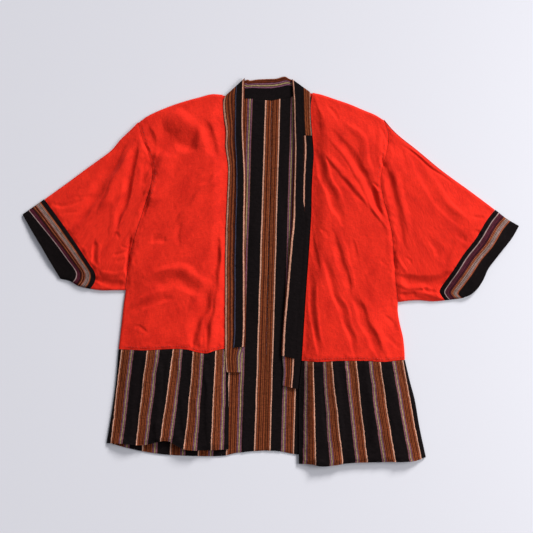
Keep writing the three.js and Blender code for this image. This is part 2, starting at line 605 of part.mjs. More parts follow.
// ---- collar ----

function collarEdges(half) {
  const besideBand = half.bandFront.slice(1).filter((row) => row.y > half.collarEnd.y);
  const rows = [half.collarTop, ...half.frontEdge.slice(1), ...besideBand, half.collarEnd];
  return {
    sewn: smoothLine(rows.map(({ x, y }) => ({ x: x + half.inward * LOOSE_GAP, y }))),
    free: smoothLine(half.collarFree),
  };
}

// where a collar strip lies at a share of its length: its free edge, its width and the way back from it
function collarSection(half, share) {
  const { sewn, free } = half.collar;
  const [ax, ay] = sewn(share);
  const [bx, by] = free(share);
  const width = Math.hypot(bx - ax, by - ay);
  const back = (distance) => [bx + (distance * (ax - bx)) / width, by + (distance * (ay - by)) / width];
  return { width, back, y: (ay + by) / 2 };
}

// share of the strip's length at which it passes a height
function shareAt(half, y) {
  return evenly(SEARCH_STEPS).find((share) => collarSection(half, share).y <= y);
}

// a strip rounds down where it turns over at the shoulder
function turnRound(share) {
  return quarterRound(share / TURN_SHARE);
}

function collarBody(name, half, fromShare, toShare, along) {
  const layer = (high) => along.map((v) => {
    const share = fromShare + v * (toShare - fromShare);
    const { width, back } = collarSection(half, share);
    return ACROSS_COLLAR.map((u) => {
      const fromFree = (1 - u) * (width - UNDER_COLLAR_INSET);
      const round = quarterRound(fromFree / COLLAR_RIM) * turnRound(share);
      const z = COLLAR_UNDER + COLLAR_EDGE + (COLLAR_TOP - COLLAR_UNDER - COLLAR_EDGE) * round;
      return [...back(UNDER_COLLAR_INSET + fromFree), high ? z : COLLAR_UNDER];
    });
  });
  return bodyBetween(name, layer(true), layer(false), false, CLOTH.stripe);
}

function overCollarBody(name, half, toShare, along) {
  const layer = (raise, inset) => along.map((v) => {
    const share = v * toShare;
    const { back } = collarSection(half, share);
    return ACROSS_OVER_COLLAR.map((u) => {
      const fromFree = (1 - u) * half.overWidth;
      const round = quarterRound(fromFree / COLLAR_RIM) * turnRound(share);
      const low = u === 1 ? COLLAR_UNDER : COLLAR_UNDER + COLLAR_EDGE + OVER_GAP + raise;
      return [...back(fromFree + inset * u), low + (COLLAR_TOP + OVER_GAP + raise - low) * round];
    });
  });
  return bodyBetween(name, layer(OVER_WALL, 0), layer(0, OVER_WALL), false, CLOTH.stripe);
}

// stations along a strip that starts at the shoulder and ends at a share of the whole length
function downFromTurn(end, count) {
  return stations(TURN_STATIONS.map((k) => k / end), count, false);
}

function collarPieces(half, side, cutY) {
  const overEnd = shareAt(half, half.collarEnd.over);
  const over = overCollarBody(`over_collar_${side}`, half, overEnd, downFromTurn(overEnd, OVER_STATIONS));
  const pieces = [over];
  if (cutY === null) {
    pieces.push(collarBody(`collar_${side}`, half, 0, 1, ALONG_COLLAR));
    return pieces;
  }
  const cut = shareAt(half, cutY);
  const upperEnd = cut - PIECING_GAP;
  const upper = downFromTurn(upperEnd, UPPER_COLLAR_STATIONS);
  pieces.push(collarBody(`collar_${side}_upper`, half, 0, upperEnd, upper));
  pieces.push(collarBody(`collar_${side}`, half, cut, 1, evenly(LOWER_COLLAR_STATIONS)));
  return pieces;
}

// the strip behind the neck lies beyond the shoulder line with its inner face up
function neckPieces() {
  const sewn = smoothLine(NECK.sewn);
  const free = smoothLine(NECK.free);
  const plan = (width) => ALONG_NECK.map((t) => ACROSS_NECK.map((u) => {
    const [ax, ay] = sewn(t);
    const [bx, by] = free(t);
    const k = u * width;
    return [ax + k * (bx - ax), ay + GAP + k * (by - ay)];
  }));
  const flat = (grid, z) => grid.map((row) => row.map(([x, y]) => [x, y, z]));
  const rounded = (grid, low, high) => grid.map((row) => row.map(([x, y], j) => {
    return [x, y, low + (high - low) * quarterRound(((1 - ACROSS_NECK[j]) * NECK_WIDTH) / COLLAR_RIM)];
  }));
  const lower = plan(NECK_UNDER_SHARE);
  const under = bodyBetween('collar_neck', flat(lower, NECK_UNDER_TOP), flat(lower, 0), false, CLOTH.stripe);
  const over = bodyBetween(
    'over_collar_neck',
    rounded(plan(1), NECK_UNDER_TOP + GAP + NECK_OVER_EDGE, NECK_OVER_TOP),
    flat(plan(1), NECK_UNDER_TOP + GAP),
    false,
    CLOTH.stripe,
  );
  return [under, over];
}

RIGHT.outer = outerEdges(RIGHT);
LEFT.outer = outerEdges(LEFT);
RIGHT.collar = collarEdges(RIGHT);
LEFT.collar = collarEdges(LEFT);

const noragi = new THREE.Group();
noragi.name = 'noragi';
for (const [half, side, cutY] of [[RIGHT, 'right', null], [LEFT, 'left', PIECING_Y]]) {
  noragi.add(...frontPieces(half, side), ...sleevePieces(half, side));
  noragi.add(...backPieces(half, side), ...liningPieces(half, side), ...collarPieces(half, side, cutY));
}
noragi.add(backBand(), ...neckPieces());

export default noragi;
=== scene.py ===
"""A noragi laid flat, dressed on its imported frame.

The tables are in millimetres in the frame's axes, +X to the wearer's left and +Y to the neck, and
meshes are written in metres. "right" and "left" are the wearer's.
"""
import json
import math

import bpy
import numpy as np
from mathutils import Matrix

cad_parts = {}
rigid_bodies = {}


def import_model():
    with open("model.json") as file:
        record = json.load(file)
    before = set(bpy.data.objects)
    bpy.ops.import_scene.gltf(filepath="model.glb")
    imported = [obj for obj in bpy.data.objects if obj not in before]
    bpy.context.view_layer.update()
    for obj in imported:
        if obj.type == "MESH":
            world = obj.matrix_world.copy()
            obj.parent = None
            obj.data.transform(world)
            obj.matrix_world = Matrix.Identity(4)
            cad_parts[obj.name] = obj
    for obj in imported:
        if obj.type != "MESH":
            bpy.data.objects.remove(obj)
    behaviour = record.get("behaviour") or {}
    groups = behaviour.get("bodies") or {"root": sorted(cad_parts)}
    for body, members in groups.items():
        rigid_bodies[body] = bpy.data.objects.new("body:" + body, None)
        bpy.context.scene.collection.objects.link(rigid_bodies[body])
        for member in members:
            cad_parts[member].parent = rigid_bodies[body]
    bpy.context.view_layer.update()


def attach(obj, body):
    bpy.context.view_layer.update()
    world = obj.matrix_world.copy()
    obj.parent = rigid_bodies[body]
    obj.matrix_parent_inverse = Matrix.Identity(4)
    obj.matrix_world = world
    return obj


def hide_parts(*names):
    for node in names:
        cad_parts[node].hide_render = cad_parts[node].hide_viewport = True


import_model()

MM = 0.001



def placed(name, data):
    """An object of the scene, made from a mesh, a light or a camera."""
    made = bpy.data.objects.new(name, data)
    bpy.context.scene.collection.objects.link(made)
    return made


# ---- camera ----

CAMERA_AT = (-0.0085, 0.0098, 2.2)
FIELD = 1.066  # metres of floor across the view
SENSOR = 36.0


def make_camera():
    data = bpy.data.cameras.new("camera")
    data.sensor_width = SENSOR
    data.lens = SENSOR * CAMERA_AT[2] / FIELD
    camera = placed("camera", data)
    camera.location = CAMERA_AT
    bpy.context.scene.camera = camera


# ---- sizes in millimetres, and shares ----

GAP = 0.3
SEAM_GAP = 0.8
LOOSE_GAP = 1.4  # between a collar strip and the front that it is sewn to
BACK_WALL = 1.2
LINING_TOP = 2.5
CLOTH_WALL = 1.5
FOOT = 1.5  # height at which an upper layer's outer edge ends
LOFT = 4.7  # beside an outer edge or the collar
PUFF = 6.6  # further up, away from them
PUFF_REACH = 55.0
PUFF_FRONT_REACH = 30.0
HIGHEST = 19.0  # of an upper layer's top
LOWEST = 4.1  # over the lining
LOWEST_SLEEVE = 3.1
SOFTENING = 0.8  # with which heights meet the lowest and the highest
RIM = 5.5  # run of the rounding at an outer edge
UNDER_RIM = 4.0
BACK_INSET = 1.5
LINING_INSET = 11.0
COLLAR_UNDER = 3.3
COLLAR_TOP = 6.3
COLLAR_EDGE = 1.2
OVER_WALL = 1.2
OVER_GAP = 0.5
UNDER_COLLAR_INSET = 2.2
TURN_SHARE = 0.02  # of a collar strip's length, rounded at the neck
COLLAR_RIM = 6.0
OVER_WIDENING = 60.0  # run over which an over-collar changes its width
CUFF_FALL = 0.6  # share of its loft that a cuff loses towards its mouth
CUFF_REPEAT = 58.0  # cloth across which a cuff's stripes are counted
NECK_UNDER_TOP = 1.5
NECK_OVER_TOP = 3.0
ARMHOLE_SHARE = 0.7  # of a body's outer edge, above the side seam


def points(text):
    """x and y pairs from text such as "1 2, 3 4"."""
    return np.array([[float(number) for number in pair.split()] for pair in text.split(",")])


# The outer edges run from the neck to the cuff and on under the arm to the hem. The others run down, or
# from the side to the front. The over_widths are the over-collar's upper and lower width, and the height
# below which it changes. The pinks are the x of the pink stripes along a band's seam and hem, and the
# upper and lower end of one in the lining.
RIGHT = {
    "side": "right",
    "inward": 1,
    "shoulder": points("-96 353, -118 354, -142 348, -168 341, -196 332, -226 320, -248 309, -264 297"),
    "sleeve_top": points("-264 297, -280 281, -300 262, -318 241, -342 223, -370 203, -400 181, -452 144"),
    "cuff_top": points("-452 144, -474 129, -496 114"),
    "cuff_mouth": points("-496 114, -480 86, -460 53, -442 22, -420 -15"),
    "cuff_under": points("-420 -15, -402 -19, -384 -29, -360 -35"),
    "cuff_seam": points("-452 144, -420 102, -388 56, -364 19, -350 -4, -351 -20, -360 -35"),
    "sleeve_under": points("-360 -35, -338 -38, -314 -38, -290 -38"),
    "armhole": points(
        "-264 297, -256 267, -244 236, -235 203, -238 171, -250 133, -262 95, -274 57, -283 17, -290 -38"
    ),
    "side_seam": points("-290 -38, -294 -67, -299 -112, -304 -155"),
    "front_edge": points(
        "-96 353, -96 335, -94 307, -90 279, -91 249, -86 213, -86 183, -88 143, -91 63, -92 -57, -92 -154"
    ),
    "band_seam": points(
        "-304 -155, -282 -156, -248 -157, -216 -155, -188 -154, -164 -156, -146 -161, -128 -163,"
        "-112 -158, -92 -154"
    ),
    "band_side": points("-304 -155, -309 -215, -316 -270, -328 -343"),
    "band_front": points("-92 -154, -90 -197, -85 -230, -84 -290, -84 -355"),
    "hem": points(
        "-328 -343, -290 -343, -260 -346, -236 -343, -218 -338, -202 -339, -186 -348, -166 -355,"
        "-130 -356, -84 -355"
    ),
    "collar_turn": points("-93 350"),
    "collar_free": points(
        "-52 386, -53 343, -54 303, -52 253, -49 183, -50 93, -50 -7, -50 -107, -52 -152, -57 -170,"
        "-57 -201"
    ),
    "collar_end": (-88.5, -201),
    "over_end": -151,
    "over_widths": (23, 23, 0),
    "back_band_y": -155,
    "seam_pinks": (-298.5, -246.5, -194.5, -154.5, -110.5),
    "hem_pinks": (-319.5, -268.5, -220.5, -172.5, -119.5),
    "lining_pink": ((-15.5, 202.8), (-32.0, -317.2)),
    "lining_repeat": 56.0,
}
LEFT = {
    "side": "left",
    "inward": -1,
    "shoulder": points("84 357, 102 353, 132 343, 158 334, 184 323, 208 313, 226 302"),
    "sleeve_top": points("226 302, 240 285, 258 268, 290 243, 340 202, 394 163, 424 141, 448 123"),
    "cuff_top": points("448 123, 470 106, 496 91"),
    "cuff_mouth": points("496 91, 482 67, 466 47, 448 24, 434 5, 424 -17, 412 -35, 398 -47, 380 -54"),
    "cuff_under": points("380 -54, 364 -56, 348 -58"),
    "cuff_seam": points("448 123, 430 101, 408 65, 384 34, 362 0, 346 -23, 337 -39, 341 -49, 348 -58"),
    "sleeve_under": points("348 -58, 322 -60, 298 -58, 276 -59, 254 -62"),
    "armhole": points(
        "226 302, 235 273, 232 243, 224 213, 219 181, 224 147, 234 109, 242 70, 248 -7, 254 -62"
    ),
    "side_seam": points("254 -62, 254 -81, 258 -105, 264 -130, 267 -155, 268 -176"),
    "front_edge": points(
        "84 357, 80 333, 81 299, 84 263, 86 233, 84 203, 82 163, 81 113, 76 33, 70 -51, 66 -117, 62 -178"
    ),
    "band_seam": points("268 -176, 248 -178, 226 -180, 190 -178, 138 -178, 94 -180, 62 -178"),
    "band_side": points("268 -176, 278 -219, 288 -257, 297 -310, 310 -371"),
    "band_front": points("62 -178, 59 -207, 56 -240, 56 -320, 56 -384"),
    "hem": points("310 -371, 284 -378, 218 -380, 158 -382, 118 -387, 100 -388, 84 -385, 56 -384"),
    "collar_turn": points("80 358"),
    "collar_free": points(
        "42 384, 45 343, 46 293, 47 243, 46 187, 42 93, 38 57, 32 -17, 25 -97, 21 -171, 23 -200, 21 -227"
    ),
    "collar_end": (56, -235),
    "over_end": -171,
    "over_widths": (22, 30, 165),
    "back_band_y": -176,
    "seam_pinks": (85.5, 121.5, 170.5, 218.5, 264.5),
    "hem_pinks": (90.5, 143.5, 191.5, 248.5, 300.5),
    "lining_pink": ((15.2, 202.8), (0.5, -317.2)),
    "lining_repeat": 47.0,
}
NECK_SEWN = points("-84 351, -62 346, -42 345, -22 342, 0 341, 22 345, 42 349, 58 352, 72 358")
NECK_FREE = points("-58 378, -46 383, -42 381, -28 383, -10 384, 12 385, 28 389, 36 385, 48 380")
BACK_HEM = points(
    "-328 -343, -294 -352, -256 -360, -210 -366, -150 -369, -98 -369, -72 -364, -28 -360, 12 -360,"
    "54 -367, 118 -372, 188 -371, 310 -371"
)
BACK_BAND_MIDDLE = -166
CENTRE_TOP = (2, 341)
CENTRE_BOTTOM = (-13, -360)
PIECING_Y = 271
PIECING_GAP = 0.0006  # as a share of the left strip's length

# Each fold, one row each: half its width, how far it stands (or sinks, below 0), and the x and y of
# the places that its line passes.
FOLDS = """
# right body: the hollow below the shoulder and the ridges that lead round it
28   6.0  : -215 322, -180 303, -155 283, -137 258, -128 235
34   -7.4 : -222 225, -210 248, -195 262, -165 255, -143 247
14   -3.2 : -130 300, -120 275, -114 250, -108 225
24   6.0  : -203 256, -214 222, -223 190, -236 160, -249 128
16   -4.5 : -246 292, -239 256, -241 222, -250 192
14   4.0  : -92 200, -120 178, -145 150, -170 118, -190 90
8    -1.8 : -112 188, -128 180, -142 176
5    -1.8 : -257 256, -250 246, -243 236
8    -2.0 : -236 232, -238 215, -243 200
9    -2.2 : -250 212, -254 190, -259 168
8    -1.3 : -176 100, -182 78, -186 50
12   -2.0 : -240 58, -222 62, -205 58
# right body: the hollow beside the armhole
7    -4.5 : -237 168, -243 148, -250 125, -259 105
7    -4.5 : -276 73, -282 45, -286 16, -287 -12
# right body: down the front edge
18   -6.5 : -106 60, -111 10, -120 -22, -128 -62, -145 -95, -158 -150
12   5.2  : -98 90, -99 40, -102 -5, -105 -50, -112 -90, -122 -150
5    -2.0 : -94 60, -95 -20, -94 -80, -93 -150
7    -2.0 : -150 -118, -156 -138, -159 -155
8    2.0  : -133 -95, -138 -125, -140 -155
7    -1.8 : -126 -105, -126 -130, -124 -158
# right body: across the waist
20   5.2  : -240 -8, -215 -2, -190 5, -168 3, -148 -14, -128 -20
22   -4.8 : -238 -26, -205 -22, -180 -24, -160 -34, -135 -44
9    2.0  : -288 -78, -262 -55, -235 -42, -205 -38
10   -2.0 : -280 -90, -255 -72, -225 -60, -190 -55
6    -2.0 : -272 -113, -262 -111, -252 -116, -243 -122
8    -1.2 : -160 -48, -165 -66, -168 -84
# right sleeve: the long hollows from the shoulder
16   -8.6 : -290 256, -306 228, -317 204, -331 184, -346 153, -361 129, -374 108, -395 90
12   5.0  : -278 250, -290 222, -303 195, -318 168, -330 142, -343 118
11   -8.2 : -265 252, -271 228, -276 203, -281 178, -286 153, -294 128, -303 104, -307 84
9    1.5  : -316 150, -316 120, -318 90, -322 62
# right sleeve: beside the armhole
6    -4.0 : -279 75, -282 52, -285 35, -282 18, -286 4, -285 -12
5    -1.8 : -314 64, -308 72, -302 62
5    -1.5 : -298 52, -290 48, -280 46
5    -1.5 : -317 30, -300 34, -282 40
5    -1.2 : -312 20, -298 22, -284 25
# right sleeve: along its lower edge
11   -4.4 : -352 -16, -335 -24, -312 -30, -285 -30
9    2.0  : -345 2, -315 -4, -290 -2
# right sleeve: beside the cuff
7    -3.0 : -352 62, -353 45, -351 25, -355 10
7    1.5  : -343 58, -342 35, -341 12
6    -2.0 : -434 133, -415 131, -392 134, -370 142
6    -1.2 : -398 150, -375 147, -352 150
5    -1.0 : -415 118, -398 116, -380 117
# left body: the hollow below the shoulder and its two ridges
16   -5.0 : 128 276, 146 252, 163 230, 178 205, 187 182, 200 158, 212 128, 226 100
9    3.0  : 112 268, 130 250, 148 231, 163 208, 172 187, 187 160, 203 128, 222 98, 238 78
12   3.0  : 152 295, 180 272, 188 245, 193 215, 205 185
9    2.6  : 100 240, 128 212, 150 187, 170 161, 193 134, 215 105
8    -2.2 : 138 192, 155 174, 172 152, 185 135
6    -1.3 : 112 330, 124 316, 134 300
7    -1.2 : 92 325, 94 300, 98 275
# left body: from the collar
13   -4.2 : 86 240, 96 216, 101 195, 110 170, 120 142, 131 118, 141 92
9    2.0  : 104 232, 112 208, 122 182, 135 155, 147 128
6    -1.0 : 98 84, 108 74, 116 66
# left body: the long creases to the hem
10   -3.4 : 119 83, 127 67, 137 40, 141 20, 149 -3, 156 -29, 158 -52
13   -4.2 : 160 -50, 174 -75, 183 -100, 200 -137, 218 -172
9    1.5  : 138 75, 148 42, 153 18, 162 -8, 168 -35
12   2.0  : 176 -45, 192 -75, 202 -105, 222 -145, 238 -175
9    -2.4 : 81 92, 86 58, 92 24, 98 0
11   -3.0 : 103 40, 112 8, 119 -18, 129 -50, 140 -75, 151 -111, 162 -143, 169 -172
8    1.6  : 126 -15, 137 -47, 150 -72, 162 -110, 174 -145
9    -2.6 : 79 10, 78 -40, 82 -85, 88 -125, 94 -172
8    1.6  : 92 -20, 90 -60, 96 -105, 105 -150
6    -1.5 : 70 -60, 68 -110, 68 -165
8    -1.2 : 162 66, 167 45, 173 22
8    -1.0 : 215 25, 228 12, 240 8
8    -1.4 : 226 -86, 243 -104, 256 -122
7    -1.2 : 230 -128, 245 -142, 258 -152
# left body: beside the armhole
7    -2.5 : 198 180, 208 150, 216 125, 221 105
5    -1.8 : 200 178, 208 172, 217 160
5    -2.5 : 226 240, 222 222, 228 206
5    -1.8 : 224 282, 229 262, 231 246
8    1.4  : 216 290, 218 262, 214 235
5    -3.0 : 245 45, 245 20, 247 0
# left sleeve: from the shoulder
12   -3.8 : 225 224, 234 188, 244 150, 253 110, 261 72, 270 42
9    2.0  : 238 222, 247 186, 257 148, 267 108, 275 72
4    -2.0 : 257 258, 290 233, 312 215, 337 195, 360 180, 370 173
4    1.0  : 271 253, 303 226, 330 206, 355 189
10   -1.6 : 258 250, 266 220, 274 195
12   -2.0 : 277 234, 290 212, 300 192, 317 158, 337 128, 360 107, 382 88
9    1.4  : 300 222, 318 194, 336 164, 357 136, 382 113, 402 98
# left sleeve: beside the cuff
10   -1.8 : 366 78, 378 68, 390 60
6    -1.5 : 402 82, 412 76, 420 70
6    -1.6 : 400 108, 412 104, 424 106
10   -1.2 : 366 66, 358 48, 352 30, 347 12
12   -1.6 : 312 62, 328 46, 338 30
# left sleeve: the hollow along its lower edge and the ridges below it
18   -6.6 : 250 -8, 278 -16, 305 -20, 330 -19, 352 -8, 364 4
8    3.0  : 250 -27, 275 -34, 298 -31, 312 -34, 325 -42
6    2.0  : 340 -24, 352 -13, 364 -8
6    -3.0 : 303 -31, 315 -39, 330 -40
8    -2.6 : 254 -46, 272 -48, 290 -44
7    2.0  : 292 -46, 312 -44, 330 -50, 345 -53
5    -1.6 : 255 -57, 290 -53, 320 -56, 345 -58
4    -1.8 : 268 28, 274 22, 279 15
6    1.6  : 252 28, 262 12, 272 0
# cuffs
28   2.6  : -418 -1, -386 -25, -350 -37
28   6.3  : 370 -57, 398 -45, 422 -21
20   2.7  : 442 19, 458 47, 478 71
# right band
34   6.3  : -326 -349, -298 -353, -262 -357
30   5.4  : -212 -361, -172 -369, -132 -369
12   2.3  : -220 -173, -220 -237, -226 -293
12   3.6  : -226 -293, -226 -321, -220 -349
10   -2.0 : -190 -161, -186 -237, -182 -297, -174 -329, -162 -357
10   2.2  : -136 -165, -128 -217, -126 -277, -124 -355
10   -1.8 : -254 -161, -262 -237, -270 -317
12   1.8  : -286 -161, -294 -237, -304 -317
8    1.4  : -162 -161, -154 -217, -148 -297
8    -1.6 : -108 -161, -104 -237, -104 -337
8    1.3  : -242 -161, -246 -197, -252 -241
8    1.4  : -202 -161, -206 -209, -210 -257
# left band
34   6.3  : 242 -397, 282 -389, 314 -377
30   5.4  : 82 -397, 118 -393, 148 -393
10   2.2  : 82 -181, 82 -257, 86 -337
8    -1.8 : 102 -181, 106 -257, 114 -357
12   2.0  : 130 -181, 134 -257, 146 -367
10   -1.8 : 160 -181, 166 -247, 174 -337
12   2.2  : 186 -181, 198 -257, 214 -367
9    -1.8 : 210 -181, 224 -247, 242 -337
12   1.8  : 234 -181, 252 -257, 274 -357
8    -1.4 : 254 -181, 274 -247, 294 -337
8    1.3  : 148 -181, 154 -217, 162 -253
"""

# ---- lines and grids ----


def listed(shares):
    """An array of shares, from one number or many."""
    return np.atleast_1d(np.asarray(shares, float))


def distances(rows):
    """How far along each row lies, from the first."""
    return np.concatenate([[0], np.cumsum(np.hypot(*np.diff(rows, axis=0).T))])


def spans(rows):
    """From the row before each one to the row after it. The ends have a neighbour on one side only."""
    number = np.arange(len(rows))
    return rows[np.minimum(number + 1, number[-1])] - rows[np.maximum(number - 1, 0)]


def smooth_line(rows):
    """A smooth line through the rows, called with shares of its length."""
    at = distances(rows)
    last = len(rows) - 1
    slope = spans(rows) / spans(at)[:, None]

    def line(share):
        s = np.clip(listed(share), 0, 1) * at[-1]
        i = np.clip(np.searchsorted(at, s) - 1, 0, last - 1)
        step = (at[i + 1] - at[i])[:, None]
        k = (s[:, None] - at[i][:, None]) / step
        blend = k * k * (3 - 2 * k)
        bend = step * (slope[i] * k * (1 - k) ** 2 - slope[i + 1] * k * k * (1 - k))
        return rows[i] * (1 - blend) + rows[i + 1] * blend + bend

    return line


def edge(half, name):
    return smooth_line(half[name])


def joined(first, second, share):
    """Two lines as one: the first takes up the given share of it."""

    def line(t):
        t = listed(t)
        near = first(t / share)
        far = second((t - share) / (1 - share))
        return np.where((t <= share)[:, None], near, far)

    return line


def moved(line, dx, dy):
    return lambda t: line(t) + np.array([dx, dy])


def turned_round(line):
    return lambda t: line(1 - listed(t))


def part_of(line, start, share):
    """The part of a line that begins at one share of it and is as long as the other."""
    return lambda t: line(start + share * np.clip(listed(t), 0, 1))


def straight(start, end):
    start = np.array(start, float)
    end = np.array(end, float)
    return lambda t: start + listed(t)[:, None] * (end - start)


def pinned(line, start, end):
    """The line drawn over to two given ends."""

    def made(t):
        t = listed(t)
        near = (1 - t)[:, None] * (start - line(0)[0])
        far = t[:, None] * (end - line(1)[0])
        return line(t) + near + far

    return made


def patch(edges, across, along):
    """Points inside four edges: top and bottom run from the side to the front, the others down."""
    top, bottom = edges["top"](across), edges["bottom"](across)
    corners = [edges["top"](0)[0], edges["bottom"](0)[0], edges["top"](1)[0], edges["bottom"](1)[0]]
    start = pinned(edges["side"], corners[0], corners[1])(along)
    end = pinned(edges["front"], corners[2], corners[3])(along)
    u = np.asarray(across)[None, :, None]
    v = np.asarray(along)[:, None, None]
    ruled = (1 - v) * top[None] + v * bottom[None] + (1 - u) * start[:, None] + u * end[:, None]
    upper = (1 - u) * corners[0] + u * corners[2]
    lower = (1 - u) * corners[1] + u * corners[3]
    return ruled - (1 - v) * upper - v * lower


def nearest(run, places):
    """For each place: distance to the run, which segment, the share along it, and the side."""
    flat = places.reshape(-1, 2)
    best = np.full(len(flat), np.inf)
    segment = np.zeros(len(flat), int)
    share = np.zeros(len(flat))
    side = np.zeros(len(flat))
    for i in range(len(run) - 1):
        span = run[i + 1] - run[i]
        offset = flat - run[i]
        k = np.clip(offset @ span / max(span @ span, 1e-9), 0, 1)
        d = np.hypot(*(offset - k[:, None] * span).T)
        closer = d < best
        best[closer] = d[closer]
        segment[closer] = i
        share[closer] = k[closer]
        cross = span[0] * offset[:, 1] - span[1] * offset[:, 0]
        side[closer] = np.sign(cross[closer])
    shape = places.shape[:-1]
    return best.reshape(shape), segment.reshape(shape), share.reshape(shape), side.reshape(shape)


def quarter_round(k):
    left = 1 - np.clip(k, 0, 1)
    return np.sqrt(1 - left * left)


def smooth_step(k):
    k = np.clip(k, 0, 1)
    return k * k * (3 - 2 * k)


EDGE_SHARES = np.linspace(0, 1, 25)
SEAM_SHARES = np.linspace(0, 1, 60)
# over the shoulder to the cuff, and under the arm to the hem
OUTER_EDGES = (
    ("shoulder", "sleeve_top", "cuff_top"),
    ("cuff_under", "sleeve_under", "side_seam", "band_side"),
)


def outer_runs(half):
    """The rounded outer edges, each with the ways inwards from its points."""
    runs = []
    for names in OUTER_EDGES:
        run = np.concatenate([edge(half, name)(EDGE_SHARES) for name in names])
        keep = np.concatenate([[True], np.hypot(*np.diff(run, axis=0).T) > 1e-6])
        run = run[keep]
        span = spans(run)
        span /= np.hypot(*span.T)[:, None]
        runs.append((run, np.stack([-span[:, 1], span[:, 0]], axis=1) * half["inward"]))
    return runs


def rim_at(half, places):
    """Distance to the outer edge and the way inwards from it."""
    found = []
    for run, normals in half["outer"]:
        d, segment, share, _ = nearest(run, places)
        blend = normals[segment] * (1 - share)[..., None] + normals[segment + 1] * share[..., None]
        found.append((d, blend))
    first = found[0][0] < found[1][0]
    d = np.where(first, found[0][0], found[1][0])
    return d, np.where(first[..., None], found[0][1], found[1][1])


# ---- relief of the cloth ----


def lattice_noise(places, size, seed):
    """Smooth noise from -1 to 1 with bumps of the given size in millimetres."""
    at = places / size + 1000
    cell = np.floor(at).astype(np.int64)
    k = at - cell
    k = k * k * (3 - 2 * k)

    def value(dx, dy):
        mixed = (cell[..., 0] + dx) * 374761393 + (cell[..., 1] + dy) * 668265263 + seed * 1274126177
        mixed = (mixed ^ (mixed >> 13)) * 1103515245 & 0x7FFFFFFF
        return ((mixed ^ (mixed >> 16)) % 65536) / 32767.5 - 1

    low = value(0, 0) * (1 - k[..., 0]) + value(1, 0) * k[..., 0]
    high = value(0, 1) * (1 - k[..., 0]) + value(1, 1) * k[..., 0]
    return low * (1 - k[..., 1]) + high * k[..., 1]


def turned(places, degrees, stretch):
    """Places seen along a slanting direction, drawn out along it."""
    a = math.radians(degrees)
    along = places[..., 0] * math.cos(a) + places[..., 1] * math.sin(a)
    across = places[..., 1] * math.cos(a) - places[..., 0] * math.sin(a)
    return np.stack([along / stretch, across], axis=-1)


CREASE_STRETCH = 2.6  # length of a small crease over its width
# small creases: direction in degrees, size and depth in millimetres
CREASES = ((62, 13, 0.2), (118, 10, 0.16), (12, 7, 0.14), (90, 4.5, 0.12))


def crinkle(places, seed):
    """Small sharp creases and soft unevenness, in millimetres."""
    broad = 0.3 * lattice_noise(places, 70, seed)
    slanting = 0.15 * lattice_noise(turned(places, 70, 1.8), 24, seed + 1)
    creased = np.zeros(places.shape[:-1])
    for degrees, size, depth in CREASES:
        wave = lattice_noise(turned(places, degrees, CREASE_STRETCH), size, seed + degrees)
        creased += depth * (0.5 - np.abs(wave)) * 1.4
    return broad + slanting + creased


FOLD_STEPS = 4  # between two places of a fold's line


def fold_runs():
    """Half width, rise and line of each fold."""
    runs = []
    for line in FOLDS.strip().splitlines():
        if line.startswith("#"):
            continue
        sizes, places = line.split(":")
        half, rise = [float(number) for number in sizes.split()]
        rows = points(places)
        shares = np.linspace(0, 1, FOLD_STEPS * (len(rows) - 1) + 1)
        runs.append((half, rise, smooth_line(rows)(shares)))
    return runs


STRAY = 2.6  # how far a fold's line strays
STRAY_SIZE = 26
FOLD_END = 0.22  # share of a fold's length over which it fades out
FOLD_SKEW = 0.3  # share by which one side of a fold is wider, and the other narrower
FOLD_NARROWING = 0.45  # by which it narrows at its very ends
FOLD_LEFT = 0.15  # share of its height left there
UNEVEN = 0.35  # rise and fall of its height along it
UNEVEN_SIZE = 30


def folds_at(places):
    """Sum of the listed folds."""
    stray = [lattice_noise(places, STRAY_SIZE, seed) for seed in (5, 6)]
    strayed = places + STRAY * np.stack(stray, axis=-1)
    flat = strayed.reshape(-1, 2)
    total = np.zeros(len(flat))
    for number, (half, rise, run) in enumerate(FOLD_RUNS):
        margin = half * (1 + FOLD_SKEW)
        low = run.min(axis=0) - margin
        high = run.max(axis=0) + margin
        inside = np.all((flat > low) & (flat < high), axis=1)
        if not inside.any():
            continue
        d, segment, share, side = nearest(run, flat[inside])
        along = (segment + share) / (len(run) - 1)
        ends = smooth_step(np.minimum(along, 1 - along) / FOLD_END)
        skew = 1 + FOLD_SKEW * side * (1 if number % 2 else -1)
        reach = half * (1 - FOLD_NARROWING + FOLD_NARROWING * ends) * skew
        profile = (1 - np.minimum(d / reach, 1) ** 2) ** 2
        uneven = 0.8 + UNEVEN * lattice_noise(flat[inside], UNEVEN_SIZE, 40 + number)
        total[inside] += rise * profile * (FOLD_LEFT + (1 - FOLD_LEFT) * ends) * uneven
    return total.reshape(places.shape[:-1])


def seam_dips(places, seams):
    """Puckered grooves along sewn seams, with an uneven swelling on each side."""
    total = np.zeros(places.shape[:-1])
    for number, (run, depth, reach) in enumerate(seams):
        d, *_ = nearest(run, places)
        pucker = 0.75 + 0.5 * lattice_noise(places, 7, 90 + number)
        total -= depth * pucker * np.exp(-((d / reach) ** 2))
        beside = np.exp(-(((d - 2.1 * reach) / reach) ** 2))
        total += 0.45 * depth * beside * lattice_noise(places, 9, 70 + number)
    return total


def puff(half, places, d):
    """How far the layers stand apart, away from the outer edges and the collar."""
    from_front, *_ = nearest(half["front_run"], places)
    return PUFF * smooth_step(np.minimum(d / PUFF_REACH, from_front / PUFF_FRONT_REACH))


